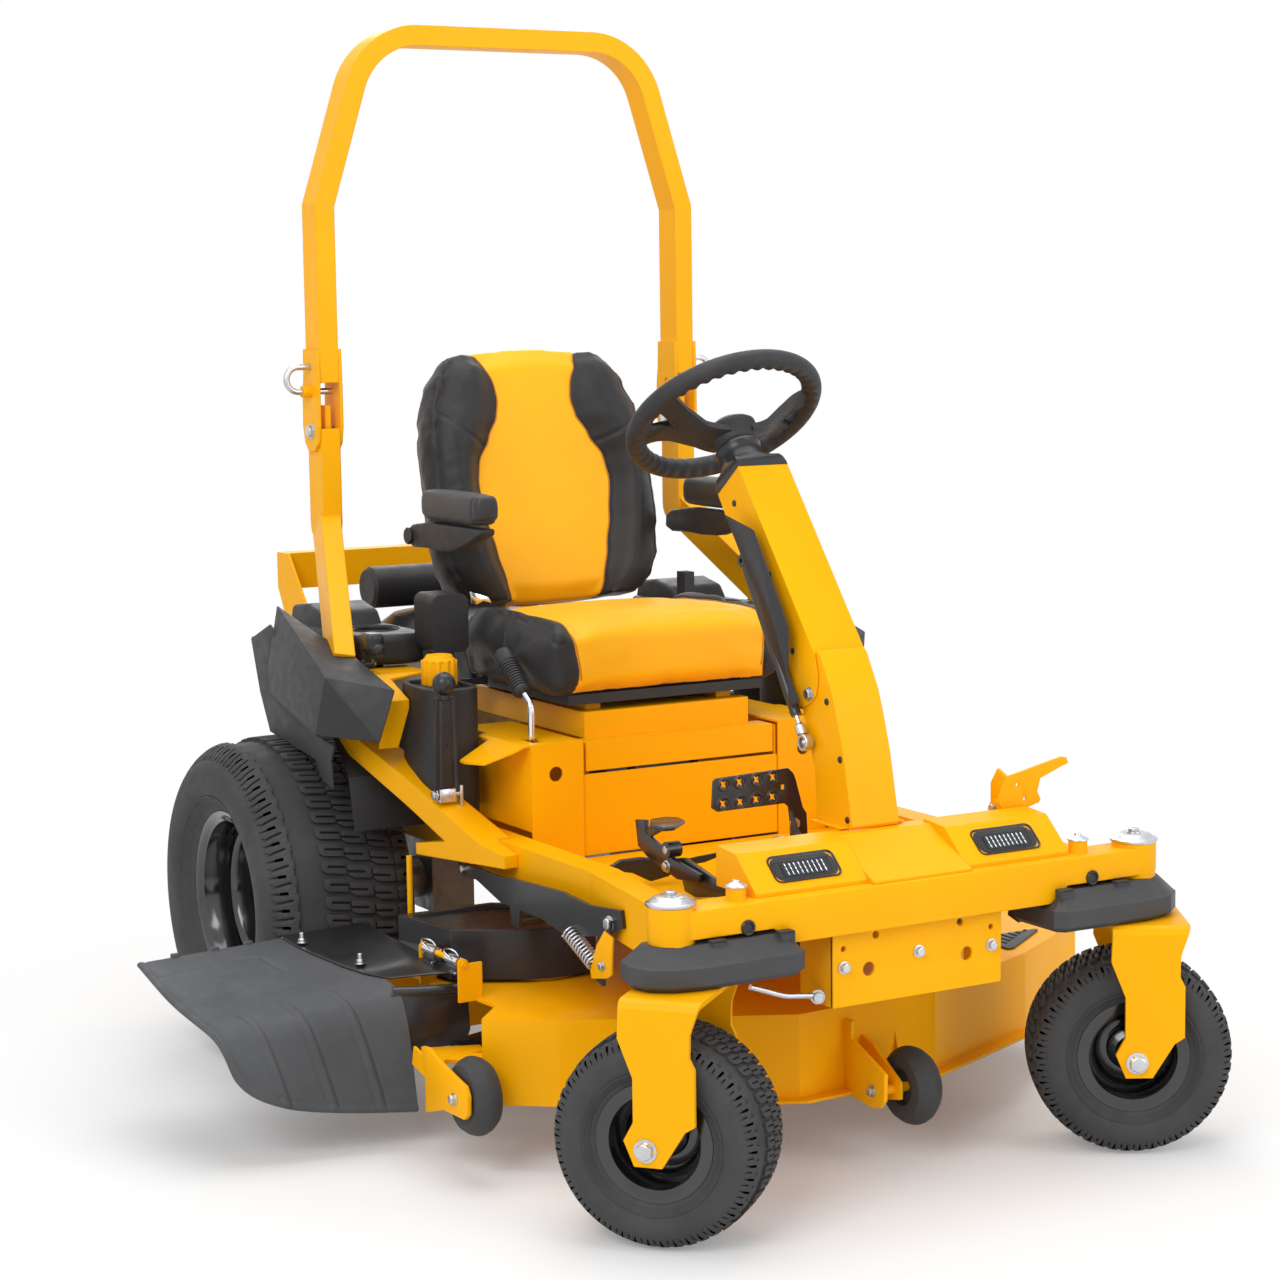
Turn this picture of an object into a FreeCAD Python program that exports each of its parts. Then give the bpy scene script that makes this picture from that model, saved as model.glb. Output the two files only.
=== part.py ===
import FreeCAD, Part
import math
import os

V = FreeCAD.Vector

# A ride-on lawn mower with a steering wheel, a folding roll bar and a side-discharge deck.
# Sizes are in millimetres. While a piece is drawn, x = 0 is the mid-plane, y = 0 the rear axle
# and z = 0 the ground. The machine drives towards -y, so its right side lies at -x.
# save() then moves every piece by row_shift, which puts the origin under the middle of the whole.
row_shift = V(115.0, 433.2, 0.0)

# wheels
rear_radius = 298.0
rear_width = 300.0
rear_x = 506.0
rear_rim = 152.0
front_radius = 165.0
front_width = 162.0
front_rim = 76.0

# casters: the pivots stand at the ends of the front beam
caster_x = 438.0
caster_y = -1312.0
caster_trail = 8.0
right_swivel = 41.0
left_swivel = 59.0
pivot_outer = 33.0
pivot_bore = 26.0
stem_radius = 14.97
fork_top = 388.0
fork_half = 105.0
fork_plate = 8.0

# frame and front beam
rail_width = 50.0
rail_bottom = 400.0
rail_top = 485.0
beam_front = -1345.0
beam_back = -1279.0
beam_bottom = 434.0
beam_top = 502.0
sheet = 4.0
engine_y = 265.0

# roll bar: a rectangular tube, 38 wide in the plane of the hoop and 63 fore and aft
hoop_x = 386.0
hoop_wide = 38.0
hoop_deep = 63.0
hoop_y = 46.0
hoop_top = 1913.0
hoop_knee = 1578.0
hoop_lean = 17.5
hoop_bend = 137.0
hoop_half_top = 186.0
hoop_foot = 1250.0
rops_pivot = 1160.0
lock_pin_low = 1234.0
lock_pin_high = 1280.0

# steering column and wheel
wheel_centre = V(0.0, -762.5, 1198.7)
wheel_tilt = 37.4
wheel_radius = 158.5
wheel_grip = 15.0
shaft_radius = 12.0
console_half = 45.0
arm_pivot = (-1095.0, 765.0)
strut_x = -60.0
strut_ball = (-1099.0, 688.0)
ball_radius = 6.5
eye_bore = 9.5
strut_top = (-921.0, 967.0)

# seat
seat_pivot = (-590.0, 616.0)
back_pivot = (-112.0, 800.0)
back_lean = 13.0
arm_rest_local = (-50.0, 161.0)

# mowing deck
deck_left = 690.0
deck_rear = -412.0
deck_bottom = 110.0
deck_top = 252.0
skirt = 5.0
blade_radius = 200.0
blade_z = 142.0
spindle_radius = 12.5
spindles = {"right": (-310.0, -645.0), "centre": (74.0, -805.0), "left": (470.0, -645.0)}
chute_hinge = (-505.0, 312.0)
lift_arm_pivot = (-552.0, 427.0)
gauge_radius = 64.0

half_hoop = hoop_wide / 2.0
running = 0.05

os.makedirs("parts", exist_ok=True)


def box(x0, x1, y0, y1, z0, z1):
    return Part.makeBox(x1 - x0, y1 - y0, z1 - z0, V(x0, y0, z0))


def rod(start, end, radius):
    start = V(*start)
    along = V(*end) - start
    return Part.makeCylinder(radius, along.Length, start, along)


def pipe(start, end, outer, inner):
    start = V(*start)
    end = V(*end)
    over = (end - start).normalize()
    core = rod(start - over, end + over, inner)
    return rod(start, end, outer).cut(core)


def outline(points):
    return Part.Face(Part.makePolygon(points + [points[0]]))


def prism(points, axis, low, high):
    # a flat outline, given in the two other axes in x, y, z order, run along one axis
    if axis == "x":
        return outline([V(low, a, b) for a, b in points]).extrude(V(high - low, 0, 0))
    if axis == "y":
        return outline([V(a, low, b) for a, b in points]).extrude(V(0, high - low, 0))
    return outline([V(a, b, low) for a, b in points]).extrude(V(0, 0, high - low))


def fuse(first, *rest):
    return first.fuse(list(rest)).removeSplitter() if rest else first


def mirrored(shape):
    return shape.mirror(V(0, 0, 0), V(1, 0, 0))


def both(*shapes):
    return list(shapes) + [mirrored(shape) for shape in shapes]


def turned(points, centre, direction):
    # (distance along the axis, radius) points, spun about the axis
    shape = outline([V(a, 0, r) for a, r in points]).revolve(V(0, 0, 0), V(1, 0, 0), 360)
    shape.Placement = FreeCAD.Placement(V(*centre), FreeCAD.Rotation(V(1, 0, 0), V(*direction)))
    return shape


def offset_strip(points, width):
    # a plan strip of constant width along a bent line, mitred at the bends
    half = width / 2.0
    left = []
    right = []
    for i, (x, y) in enumerate(points):
        steps = []
        if i > 0:
            steps.append((x - points[i - 1][0], y - points[i - 1][1]))
        if i < len(points) - 1:
            steps.append((points[i + 1][0] - x, points[i + 1][1] - y))
        normals = [(-b / math.hypot(a, b), a / math.hypot(a, b)) for a, b in steps]
        nx = sum(n[0] for n in normals)
        ny = sum(n[1] for n in normals)
        size = math.hypot(nx, ny)
        reach = half / ((nx * normals[0][0] + ny * normals[0][1]) / size)
        left.append((x + nx / size * reach, y + ny / size * reach))
        right.append((x - nx / size * reach, y - ny / size * reach))
    return left + right[::-1]


def bar(start, end, side, width, depth):
    # a straight bar of rectangular section; side is roughly the direction of its width
    start = V(*start)
    end = V(*end)
    along = (end - start).normalize()
    across = V(*side)
    across = (across - along * across.dot(along)).normalize()
    up = along.cross(across)
    corners = []
    for a, b in ((-1, -1), (1, -1), (1, 1), (-1, 1)):
        corners.append(start + across * (a * width / 2.0) + up * (b * depth / 2.0))
    return outline(corners).extrude(end - start)


def box_tube(start, end, side, width, depth, wall):
    inner = bar(start, end, side, width - 2 * wall, depth - 2 * wall)
    return bar(start, end, side, width, depth).cut(inner)


def placed(shape, move=(0, 0, 0), axis=(0, 0, 1), angle=0.0, about=(0, 0, 0)):
    shape = shape.copy()
    shape.rotate(V(*about), V(*axis), angle)
    shape.translate(V(*move))
    return shape


def hex_bolt(point, direction, radius, head=6.0):
    # a bolt head with its washer, standing on a surface
    point = V(*point)
    direction = V(*direction).normalize()
    side = V(0, 0, 1) if abs(direction.z) < 0.5 else V(1, 0, 0)
    across = direction.cross(side).normalize()
    up = direction.cross(across)
    corners = []
    for i in range(6):
        turn = math.radians(60 * i)
        corners.append(point + across * (radius * math.cos(turn)) + up * (radius * math.sin(turn)))
    washer = Part.makeCylinder(radius * 1.25, 1.6, point, direction)
    return washer.fuse(outline(corners).extrude(direction * head))


def save(name, *shapes):
    flat = []
    for shape in shapes:
        flat.extend(shape if isinstance(shape, list) else [shape])
    solids = [solid for shape in flat for solid in shape.Solids]
    whole = Part.makeCompound(solids) if len(solids) > 1 else solids[0].copy()
    whole.translate(row_shift)
    whole.exportStep("parts/" + name + ".step")


# ---- wheels -------------------------------------------------------------------------------
def tyre(radius, width, rim, wall):
    # an open ring: two beads on the rim, bulging side walls and a nearly flat tread
    bead = width * 0.37
    half = width / 2.0
    middle = (radius + rim) / 2.0
    shoulder = radius * 0.93
    tread = width * 0.42

    def edge(inset):
        lip = rim + 18.0
        points = [V(-bead + inset, 0, rim), V(-bead + inset, 0, lip)]
        wall_mid = V(-half + inset, 0, middle)
        corner = V(-tread + inset, 0, shoulder - inset)
        crown = V(0, 0, radius - inset)
        edges = [Part.makeLine(points[0], points[1])]
        edges.append(Part.Arc(points[1], wall_mid, corner).toShape())
        step = V(-tread * 0.72 + inset * 0.5, 0, radius * 0.985 - inset)
        edges.append(Part.makeLine(corner, step))
        edges.append(Part.Arc(step, crown, V(-step.x, 0, step.z)).toShape())
        edges.append(Part.makeLine(V(-step.x, 0, step.z), V(-corner.x, 0, corner.z)))
        edges.append(Part.Arc(V(-corner.x, 0, corner.z), V(-wall_mid.x, 0, middle),
                              V(-points[1].x, 0, lip)).toShape())
        edges.append(Part.makeLine(V(-points[1].x, 0, lip), V(-points[0].x, 0, rim)))
        return edges

    outer = edge(0.0)
    inner = edge(wall)
    joins = [Part.makeLine(V(-bead, 0, rim), V(-bead + wall, 0, rim)),
             Part.makeLine(V(bead, 0, rim), V(bead - wall, 0, rim))]
    profile = Part.Face(Part.Wire(Part.__sortEdges__(outer + inner + joins)))
    return profile.revolve(V(0, 0, 0), V(1, 0, 0), 360)


def rim_shell(rim, width, disc_at, hub_radius, hole_radius):
    # barrel with two flanges, and a dished disc set in from the outer edge (outer side at -x)
    bead = width * 0.37
    lip = rim + 16.0
    end = bead + 7.0
    barrel = turned([(-end, rim - 5), (-end, lip), (-bead - 1, lip), (-bead - 1, rim),
                     (bead + 1, rim), (bead + 1, lip), (end, lip), (end, rim - 5)], (0, 0, 0), (1, 0, 0))
    disc = turned([(disc_at, hole_radius), (disc_at, hub_radius), (disc_at - 18, hub_radius + 14),
                   (disc_at - 18, rim - 34), (disc_at + 6, rim - 4), (disc_at + 11, rim - 4),
                   (disc_at - 12, rim - 36), (disc_at - 12, hub_radius + 12), (disc_at + 6, hub_radius - 2),
                   (disc_at + 6, hole_radius)], (0, 0, 0), (1, 0, 0))
    return barrel.fuse(disc)


rear_disc = 14.0
axle_hub = 20.0
rear_tyre = tyre(rear_radius, rear_width, rear_rim, 14.0)
rear_rim_shape = rim_shell(rear_rim, rear_width, rear_disc, 62.0, axle_hub)
lug_circle = 50.0
for i in range(5):
    turn = math.radians(90 + 72 * i)
    y = lug_circle * math.cos(turn)
    z = lug_circle * math.sin(turn)
    rear_rim_shape = rear_rim_shape.fuse(hex_bolt((rear_disc, y, z), (-1, 0, 0), 11.0, 14.0))
hub_flange = rod((rear_disc + 6, 0, 0), (rear_disc + 18, 0, 0), 66.0)
hub_boss = rod((rear_disc - 26, 0, 0), (rear_disc + 60, 0, 0), axle_hub)
rear_shaft = rod((rear_disc + 60, 0, 0), (rear_disc + 230, 0, 0), 15.0)
rear_wheel = rear_rim_shape.fuse([hub_flange, hub_boss, rear_shaft])
save("right_rear_tyre", placed(rear_tyre, (-rear_x, 0, rear_radius)))
save("right_rear_wheel", placed(rear_wheel, (-rear_x, 0, rear_radius)))
save("left_rear_tyre", mirrored(placed(rear_tyre, (-rear_x, 0, rear_radius))))
save("left_rear_wheel", mirrored(placed(rear_wheel, (-rear_x, 0, rear_radius))))

front_axle = 10.0
front_hub_half = 72.0
front_tyre = tyre(front_radius, front_width, front_rim, 9.0)
front_wheel = rim_shell(front_rim, front_width, 4.0, 40.0, front_axle + 8)
front_wheel = front_wheel.fuse(rod((-front_hub_half, 0, 0), (front_hub_half, 0, 0), 24.0))
front_wheel = front_wheel.cut(rod((-90, 0, 0), (90, 0, 0), front_axle + running))

# The fork leg is one outline, given as (distance behind the pivot, height).
fork_leg = [(-77, fork_top), (48, fork_top), (50, 330), (27, 272), (27, 206), (42, 178), (26, 140),
            (-17, 140), (-52, 196), (-68, 206), (-68, 290), (-60, 306), (-61, 341)]
leg_inner = fork_half - fork_plate
fork_section = []
for side in (-1, 1):
    bend = [(fork_half, 130), (fork_half, fork_top - 13), (fork_half - 4, fork_top - 4),
            (fork_half - 13, fork_top)]
    fork_section.extend([(side * x, z) for x, z in (bend if side < 0 else bend[::-1])])
for side in (1, -1):
    bend = [(leg_inner, 130), (leg_inner, fork_top - 16), (leg_inner - 6, fork_top - 10)]
    fork_section.extend([(side * x, z) for x, z in (bend if side > 0 else bend[::-1])])
fork = prism(fork_section, "y", -80, 50)
fork = fork.common(prism(fork_leg, "x", -fork_half, fork_half))
fork = fork.fuse(rod((0, 0, fork_top - 1), (0, 0, 513), stem_radius))
axle_line = ((-fork_half - 1, caster_trail, front_radius), (fork_half + 1, caster_trail, front_radius))
fork = fork.cut(rod(*axle_line, front_axle + 0.2))
axle_bolt = rod(*axle_line, front_axle)
axle_bolt = axle_bolt.fuse([hex_bolt((-fork_half, caster_trail, front_radius), (-1, 0, 0), 13.5, 9.0),
                            hex_bolt((fork_half, caster_trail, front_radius), (1, 0, 0), 13.5, 9.0)])


def caster(name, side, swivel):
    at_pivot = (side * caster_x, caster_y, 0)
    hub_at = (0, caster_trail, front_radius)
    pieces = {"caster_fork": [fork, axle_bolt], "front_tyre": [placed(front_tyre, hub_at)],
              "front_wheel": [placed(front_wheel, hub_at)]}
    for node, shapes in pieces.items():
        save(name + "_" + node, [placed(shape, at_pivot, angle=swivel) for shape in shapes])


caster("right", -1, right_swivel)
caster("left", 1, left_swivel)

# ---- frame --------------------------------------------------------------------------------
rail_line = [(-270, 455), (-270, -330), (-345, -470), (-345, -941), (-404, -1300)]
rail_outer = prism(offset_strip(rail_line, rail_width), "z", rail_bottom, rail_top)
rail_core_line = [(-270, 470)] + rail_line[1:]
rail_core = prism(offset_strip(rail_core_line, rail_width - 8), "z", rail_bottom + 4, rail_top - 4)
rail = rail_outer.cut(rail_core)
rail = rail.cut(box(-500, -300, -1400, beam_back, 300, 600))
cross_rear = box(-246, 246, 405, 451, 405, 480).cut(box(-240, 240, 409, 447, 409, 476))
cross_middle = box(-246, 246, -300, -254, 405, 480).cut(box(-240, 240, -296, -258, 409, 476))
engine_plate = box(-290, 290, 100, 455, rail_top, rail_top + 6)
engine_plate = engine_plate.cut(rod((0, engine_y, rail_top - 1), (0, engine_y, rail_top + 7), 20.0))

# rear bumper: a deep bar across the back, on two side plates that rise from the rails
bumper_y = 600.0
bumper_low = 811.0
bumper_high = 885.0
bumper_half = 262.0
bumper_bar = box(-bumper_half, bumper_half, bumper_y - 46, bumper_y, bumper_low, bumper_high)
bumper_bar = bumper_bar.cut(box(-bumper_half - 1, bumper_half + 1, bumper_y - 42, bumper_y - 4,
                                bumper_low + 4, bumper_high - 4))
bumper_side = [(bumper_y - 1, bumper_high), (bumper_y - 56, bumper_high), (330, 640), (330, rail_top),
               (455, rail_top), (480, 620), (bumper_y - 1, bumper_low)]
bumper_plate = prism(bumper_side, "x", -bumper_half, -bumper_half + 6)
frame = fuse(rail, mirrored(rail), cross_rear, cross_middle, engine_plate, bumper_bar,
             bumper_plate, mirrored(bumper_plate))
save("frame_rails", frame)

# front beam with the two pivot tubes, and the drilled plate that hangs under its middle
beam = box(-caster_x, caster_x, beam_front, beam_back, beam_bottom, beam_top)
beam = beam.cut(box(-398, 398, beam_front + 5, beam_back - 5, beam_bottom + 5, beam_top - 5))
lip = prism([(-262, beam_bottom + 1), (-219, 411), (219, 411), (262, beam_bottom + 1)], "y",
            beam_front, beam_front + 5)
boss_x = 324.0
boss = rod((boss_x, -1310, beam_top - 1), (boss_x, -1310, 512), 16.0)
beam = beam.fuse([lip, boss, mirrored(boss)])
for side in (-1, 1):
    foot = (side * caster_x, caster_y, fork_top + 4)
    head = (side * caster_x, caster_y, 515)
    beam = beam.fuse(rod(foot, head, pivot_outer))
    beam = beam.cut(rod((foot[0], foot[1], 300), (head[0], head[1], 600), pivot_bore))
plate_y = -1324.0
plate_half = 160.0
plate_low = 314.0
weight_plate = box(-plate_half, plate_half, plate_y, plate_y + 6, plate_low, beam_bottom)
for side in (-1, 1):
    flange_x = sorted((side * plate_half, side * (plate_half - 6)))
    weight_plate = weight_plate.fuse(box(*flange_x, plate_y, -1232, plate_low, beam_bottom))
hook_x = 93.0
hook_z = 368.0
for x, z, radius in ((-hook_x, hook_z, 11), (hook_x, hook_z, 11), (-140, 405, 4.5), (140, 405, 4.5),
                     (-80, 420, 6), (80, 420, 6)):
    weight_plate = weight_plate.cut(rod((x, plate_y - 5, z), (x, plate_y + 12, z), radius))
save("front_beam", beam.removeSplitter(), weight_plate)

guard = prism([(-235, -1258), (-235, -1362), (-252, -1376), (-420, -1380), (-468, -1370), (-500, -1344),
               (-510, -1310), (-502, -1272), (-480, -1258)], "z", fork_top + 3, beam_bottom - 0.3)
guard_edges = [edge for edge in guard.Edges if abs(edge.CenterOfMass.z - fork_top - 3) < 0.1]
guard = guard.makeChamfer(7.0, guard_edges)
guard = guard.cut(rod((-caster_x, caster_y, 300), (-caster_x, caster_y, 500), pivot_outer + 0.3))
guard = guard.cut(rail_outer).cut(box(-263, 0, beam_front - 0.3, beam_front + 5.3, 400, 440))
save("beam_guards", both(guard))

# zinc caps and bearing rings of the two pivot tubes
caps = []
cap_profile = [(0, 0), (0, 31.5), (4, 31.5), (6, 28), (7, 10), (11, 8), (11, 0)]
for side in (-1, 1):
    x = side * caster_x
    caps.append(turned(cap_profile, (x, caster_y, 515), (0, 0, 1)))
    for low in (fork_top + 5, 498):
        caps.append(pipe((x, caster_y, low), (x, caster_y, low + 15), pivot_bore, stem_radius + running))

# lamp boxes and the cover between them, over the front beam
lamp_inner = 93.0
lamp_outer = 296.0
lamp_profile = [(-1322, beam_top), (-1322, 508), (-1264, 560), (-1209, 565), (-1209, beam_top)]
lamp_hollow = [(-1319, beam_top - 1), (-1319, 506), (-1263, 557), (-1212, 562), (-1212, beam_top - 1)]
lamp_box = prism(lamp_profile, "x", -lamp_outer, -lamp_inner)
lamp_box = lamp_box.cut(prism(lamp_hollow, "x", -lamp_outer + 3, -lamp_inner - 3))
slope = math.degrees(math.atan2(560 - 508, 1322 - 1264))
lamp_centre = (-191.0, -1293.0, 534.0)


def lamp_block(half_long, half_high, depth, proud):
    block = box(-half_long, half_long, -half_high, half_high, -depth, proud)
    upright = [edge for edge in block.Edges if abs(edge.CenterOfMass.z - (proud - depth) / 2) < 0.1
               and edge.Length > depth]
    block = block.makeFillet(12.0, upright)
    return placed(placed(block, axis=(1, 0, 0), angle=slope), lamp_centre)


lamp_box = lamp_box.cut(lamp_block(56.3, 21.3, 30, 10))
cover_profile = [(-1338, beam_top), (-1338, 506), (-1226, 560), (-1190, 560), (-1190, beam_top)]
cover_hollow = [(-1333, beam_top - 1), (-1333, 504), (-1225, 557), (-1193, 557), (-1193, beam_top - 1)]
beam_cover = prism(cover_profile, "x", -lamp_inner + 0.3, lamp_inner - 0.3)
beam_cover = beam_cover.cut(prism(cover_hollow, "x", -lamp_inner + 3, lamp_inner - 3))
save("front_covers", both(lamp_box), beam_cover)
save("headlamps", both(lamp_block(56, 21, 22, 3)))

floor_line = [(-1278.7, 476), (-1188, 468), (-1010, 442), (-613, 431)]
floor_strip = offset_strip(floor_line, sheet)
save("floor_pan", prism(floor_strip, "x", -317, 317))

# ---- seat box, side boxes, tanks and mouldings --------------------------------------------
box_half = 199.0
box_low = 436.0
seat_box = box(-box_half, box_half, -609, -605, box_low, 579)
seat_side = prism([(-605, box_low), (-605, 632), (-572, 632), (-560, 600), (-120, 600), (-120, box_low)],
                  "x", box_half - sheet, box_half)
seat_side = seat_side.cut(rod((150, *seat_pivot), (250, *seat_pivot), 6.1))
seat_side = seat_side.cut(box(150, 250, -300.2, -253.8, 400, 480.2))
seat_box = fuse(seat_box, seat_side, mirrored(seat_side), box(-box_half, box_half, -124, -120, box_low, 600))
save("seat_box", seat_box)

side_top = 640.0
side_front = box(-301, -200, -612, -608, 423, side_top)
side_front = side_front.cut(rod((-254, -620, 586), (-254, -600, 586), 13.0))
side_wall = box(-301, -297, -608, -340, 488, side_top)
side_lid = box(-297, -200, -608, -340, side_top - 4, side_top)
side_lid = side_lid.cut(box(-285, -261, -586, -532, side_top - 10, side_top + 10))
wing_plan = [(-297, -608), (-297, -440), (-320, -446), (-321, -489), (-389, -512), (-390, -532), (-380, -588),
             (-330, -608)]
wing = prism(offset_strip([(-297, side_top - 2), (-312, side_top - 2), (-391, 607)], sheet), "y", -620, -430)
wing = wing.common(prism(wing_plan, "z", 500, 700))
side_box = fuse(side_front, side_wall, side_lid, wing)

# the bracket that ties the roll bar to the strut: level behind, sloping forward, then a leg down
bracket_line = [(-200, 737), (-300, 737), (-392, 703), (-392, 622)]
bracket = prism(offset_strip(bracket_line, sheet), "x", -513, -345)
bracket_plan = [(-513, -398), (-428, -398), (-428, -318), (-345, -300), (-345, -195), (-513, -195)]
bracket = bracket.common(prism(bracket_plan, "z", 600, 760))
bracket = bracket.cut(prism([(-453, 615), (-428, 690), (-400, 690), (-400, 615)], "y", -400, -385))
bracket = bracket.cut(prism([(-513, 740), (-513, 615), (-486, 615), (-486, 700)], "y", -400, -330))
for x, y, radius in ((-429, -262, 6), (-362, -243, 9), (-452, -350, 6)):
    bracket = bracket.cut(rod((x, y, 690), (x, y, 760), radius))
save("side_boxes", both(side_box, bracket))

# the diagonal channel from the bracket forward and down to the rail, with a level foot
def strut_body(room):
    side = [(-232, 650 + room), (-300, 621 + room), (-625, 481 + room), (-690, 471), (-690, 449), (-443, 439),
            (-443, 459), (-526, 473), (-299, 578), (-232, 608)]
    plan = [(-500, -215), (-447, -428), (-402, -660), (-396, -695), (-370, -695), (-370, -619),
            (-345 + room, -619), (-423 + room, -300), (-444 + room, -215)]
    return prism(side, "x", -520, -330).common(prism(plan, "z", 400, 700))


strut_beam = strut_body(0.0)
strut_beam = strut_beam.cut(box(-370, -300, -800, -400, 300, rail_top))
strut_cap = prism([(-489, 612), (-510, 735), (-440, 735), (-436, 612)], "y", -262, -254)
strut_beam = strut_beam.fuse(strut_cap)

tank_block = box(-426, -322, -486, -326, 505, 732)
upright_edges = [edge for edge in tank_block.Edges if abs(edge.CenterOfMass.z - 618.5) < 1]
tank = tank_block.makeFillet(22.0, upright_edges)
tank = tank.cut(strut_body(3.0))
cap_at = (-360, -400, 732)
tank_cap = turned([(0, 0), (0, 31), (16, 31), (20, 27), (38, 27), (42, 22), (42, 0)], cap_at, (0, 0, 1))
save("fuel_tanks", both(tank, tank_cap))

# The fender moulding: a roof and front liner over the tyre, an outer wall, and a faceted cover.
liner_line = [(-110, 733), (-215, 640), (-300, 560), (-322, 465)]
liner = prism(offset_strip(liner_line, 4.0), "x", -505, -347)
fender_wall = prism([(53, 779), (-60, 779), (-190, 700), (-238, 600), (-216, 520), (-222, 562), (-100, 624),
                     (-22, 621)], "x", -545, -541)
fender_roof = prism(offset_strip([(53, 777), (-60, 777), (-190, 698)], 4.0), "x", -541, -505)
cover_low = [(-458, -390, 632), (-520, -288, 628), (-552, -128, 668), (-546, -42, 712), (-500, -40, 716),
             (-470, -238, 700)]
cover_high = [(-458, -408, 718), (-498, -352, 742), (-540, -168, 815), (-530, -52, 846), (-490, -46, 842),
              (-466, -238, 772)]


def facets(low, high):
    # a closed body between two rings of points, in flat triangles
    low = [V(*p) for p in low]
    high = [V(*p) for p in high]
    count = len(low)
    faces = []
    for ring in (low, high):
        middle = sum(ring[1:], V(ring[0])) * (1.0 / count)
        for i in range(count):
            faces.append(outline([ring[i], ring[(i + 1) % count], middle]))
    for i in range(count):
        j = (i + 1) % count
        faces.append(outline([low[i], low[j], high[j]]))
        faces.append(outline([low[i], high[j], high[i]]))
    body = Part.Solid(Part.Shell(faces))
    if body.Volume < 0:
        body.reverse()
    return body


cover_solid = facets(cover_low, cover_high)
cover_hollow = placed(cover_solid, (9, 6, -5))
fender_cover = max(cover_solid.cut(cover_hollow).Solids, key=lambda solid: solid.Volume)

# the roll bar's lower tube, also used to cut its way through the mouldings
post_kink = (-hoop_x, hoop_y, 985.0)
post_foot = (-494.0, -252.0, 752.0)
post_way = bar(post_kink, post_foot, (1, 0, 0), hoop_wide + 3, hoop_deep + 3)
fender_side = fuse(fender_wall, fender_roof).cut(cover_solid)
liner = liner.cut(cover_solid).cut(strut_beam)
fender_parts = []
for part in (fender_side, liner, fender_cover):
    cleared = part.cut(post_way).cut(bracket)
    fender_parts.append(max(cleared.Solids, key=lambda solid: solid.Volume))
save("fender_covers", both(*fender_parts))

# moulded consoles beside the seat, with a cup hole
shelf_plan = [(-456, -196), (-440, -214), (-312, -206), (-312, 110), (-440, 118), (-456, 90)]
console_top = prism(shelf_plan, "z", 742, 800)
console_top = console_top.cut(rod((-372, -130, 752), (-372, -130, 820), 39.0))
console_top = console_top.cut(box(-450, -318, -80, 100, 730, 790))
console_top = console_top.cut(post_way)
save("side_consoles", both(console_top))

battery = box(-90, 90, -560, -430, 442, 560)
battery = battery.fuse([rod((-65, -540, 560), (-65, -540, 574), 8), rod((65, -540, 560), (65, -540, 574), 8)])
save("battery", battery)

# ---- roll bar -----------------------------------------------------------------------------
post_top = 1165.0
post_upper = box_tube(post_kink, (-hoop_x, hoop_y, post_top), (1, 0, 0), hoop_wide, hoop_deep, sheet)
post_lower = bar(post_kink, post_foot, (1, 0, 0), hoop_wide, hoop_deep)
kink_room = box(-hoop_x - half_hoop, -hoop_x + half_hoop, 0, 90, 900, 1010)
joint_block = Part.makeSphere(36, V(*post_kink)).common(kink_room)
post = fuse(post_upper, post_lower, joint_block)
post = post.cut(box(-600, -400, -400, 0, 600, 739))
tongue_half = 20.0
tongue = box(-hoop_x - 6, -hoop_x + 6, hoop_y - tongue_half, hoop_y + tongue_half, post_top - 30, 1208)
post = post.fuse(tongue)
post = post.cut(rod((-450, hoop_y, rops_pivot), (-300, hoop_y, rops_pivot), 8.2))
save("rops_posts", both(post, strut_beam))


def hoop_face(inset):
    # the hoop in its own plane: straight legs, a knee, leaning sides and rounded top corners
    lean = math.radians(hoop_lean)

    def half_line(offset):
        # one side from foot to top, offset outward from the centre line
        knee_shift = offset * math.tan(lean / 2.0)
        centre = (hoop_half_top, hoop_top - half_hoop - hoop_bend)
        radius = hoop_bend + offset
        low = V(hoop_x + offset, 0, hoop_foot - 20 if inset else hoop_foot)
        knee = V(hoop_x + offset, 0, hoop_knee + knee_shift)
        start = V(centre[0] + radius * math.cos(lean), 0, centre[1] + radius * math.sin(lean))
        mid_turn = (lean + math.pi / 2) / 2
        middle = V(centre[0] + radius * math.cos(mid_turn), 0, centre[1] + radius * math.sin(mid_turn))
        end = V(centre[0], 0, centre[1] + radius)
        return low, knee, start, middle, end

    outside = half_line(half_hoop - inset)
    inside = half_line(-half_hoop + inset)
    edges = []
    for low, knee, start, middle, end in (outside, inside):
        for sign in (1, -1):
            def flip(p):
                return V(sign * p.x, 0, p.z)
            edges.append(Part.makeLine(flip(low), flip(knee)))
            edges.append(Part.makeLine(flip(knee), flip(start)))
            edges.append(Part.Arc(flip(start), flip(middle), flip(end)).toShape())
        edges.append(Part.makeLine(end, V(-end.x, 0, end.z)))
    for sign in (1, -1):
        foot_out = V(sign * outside[0].x, 0, outside[0].z)
        foot_in = V(sign * inside[0].x, 0, inside[0].z)
        edges.append(Part.makeLine(foot_out, foot_in))
    return Part.Face(Part.Wire(Part.__sortEdges__(edges)))


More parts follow.
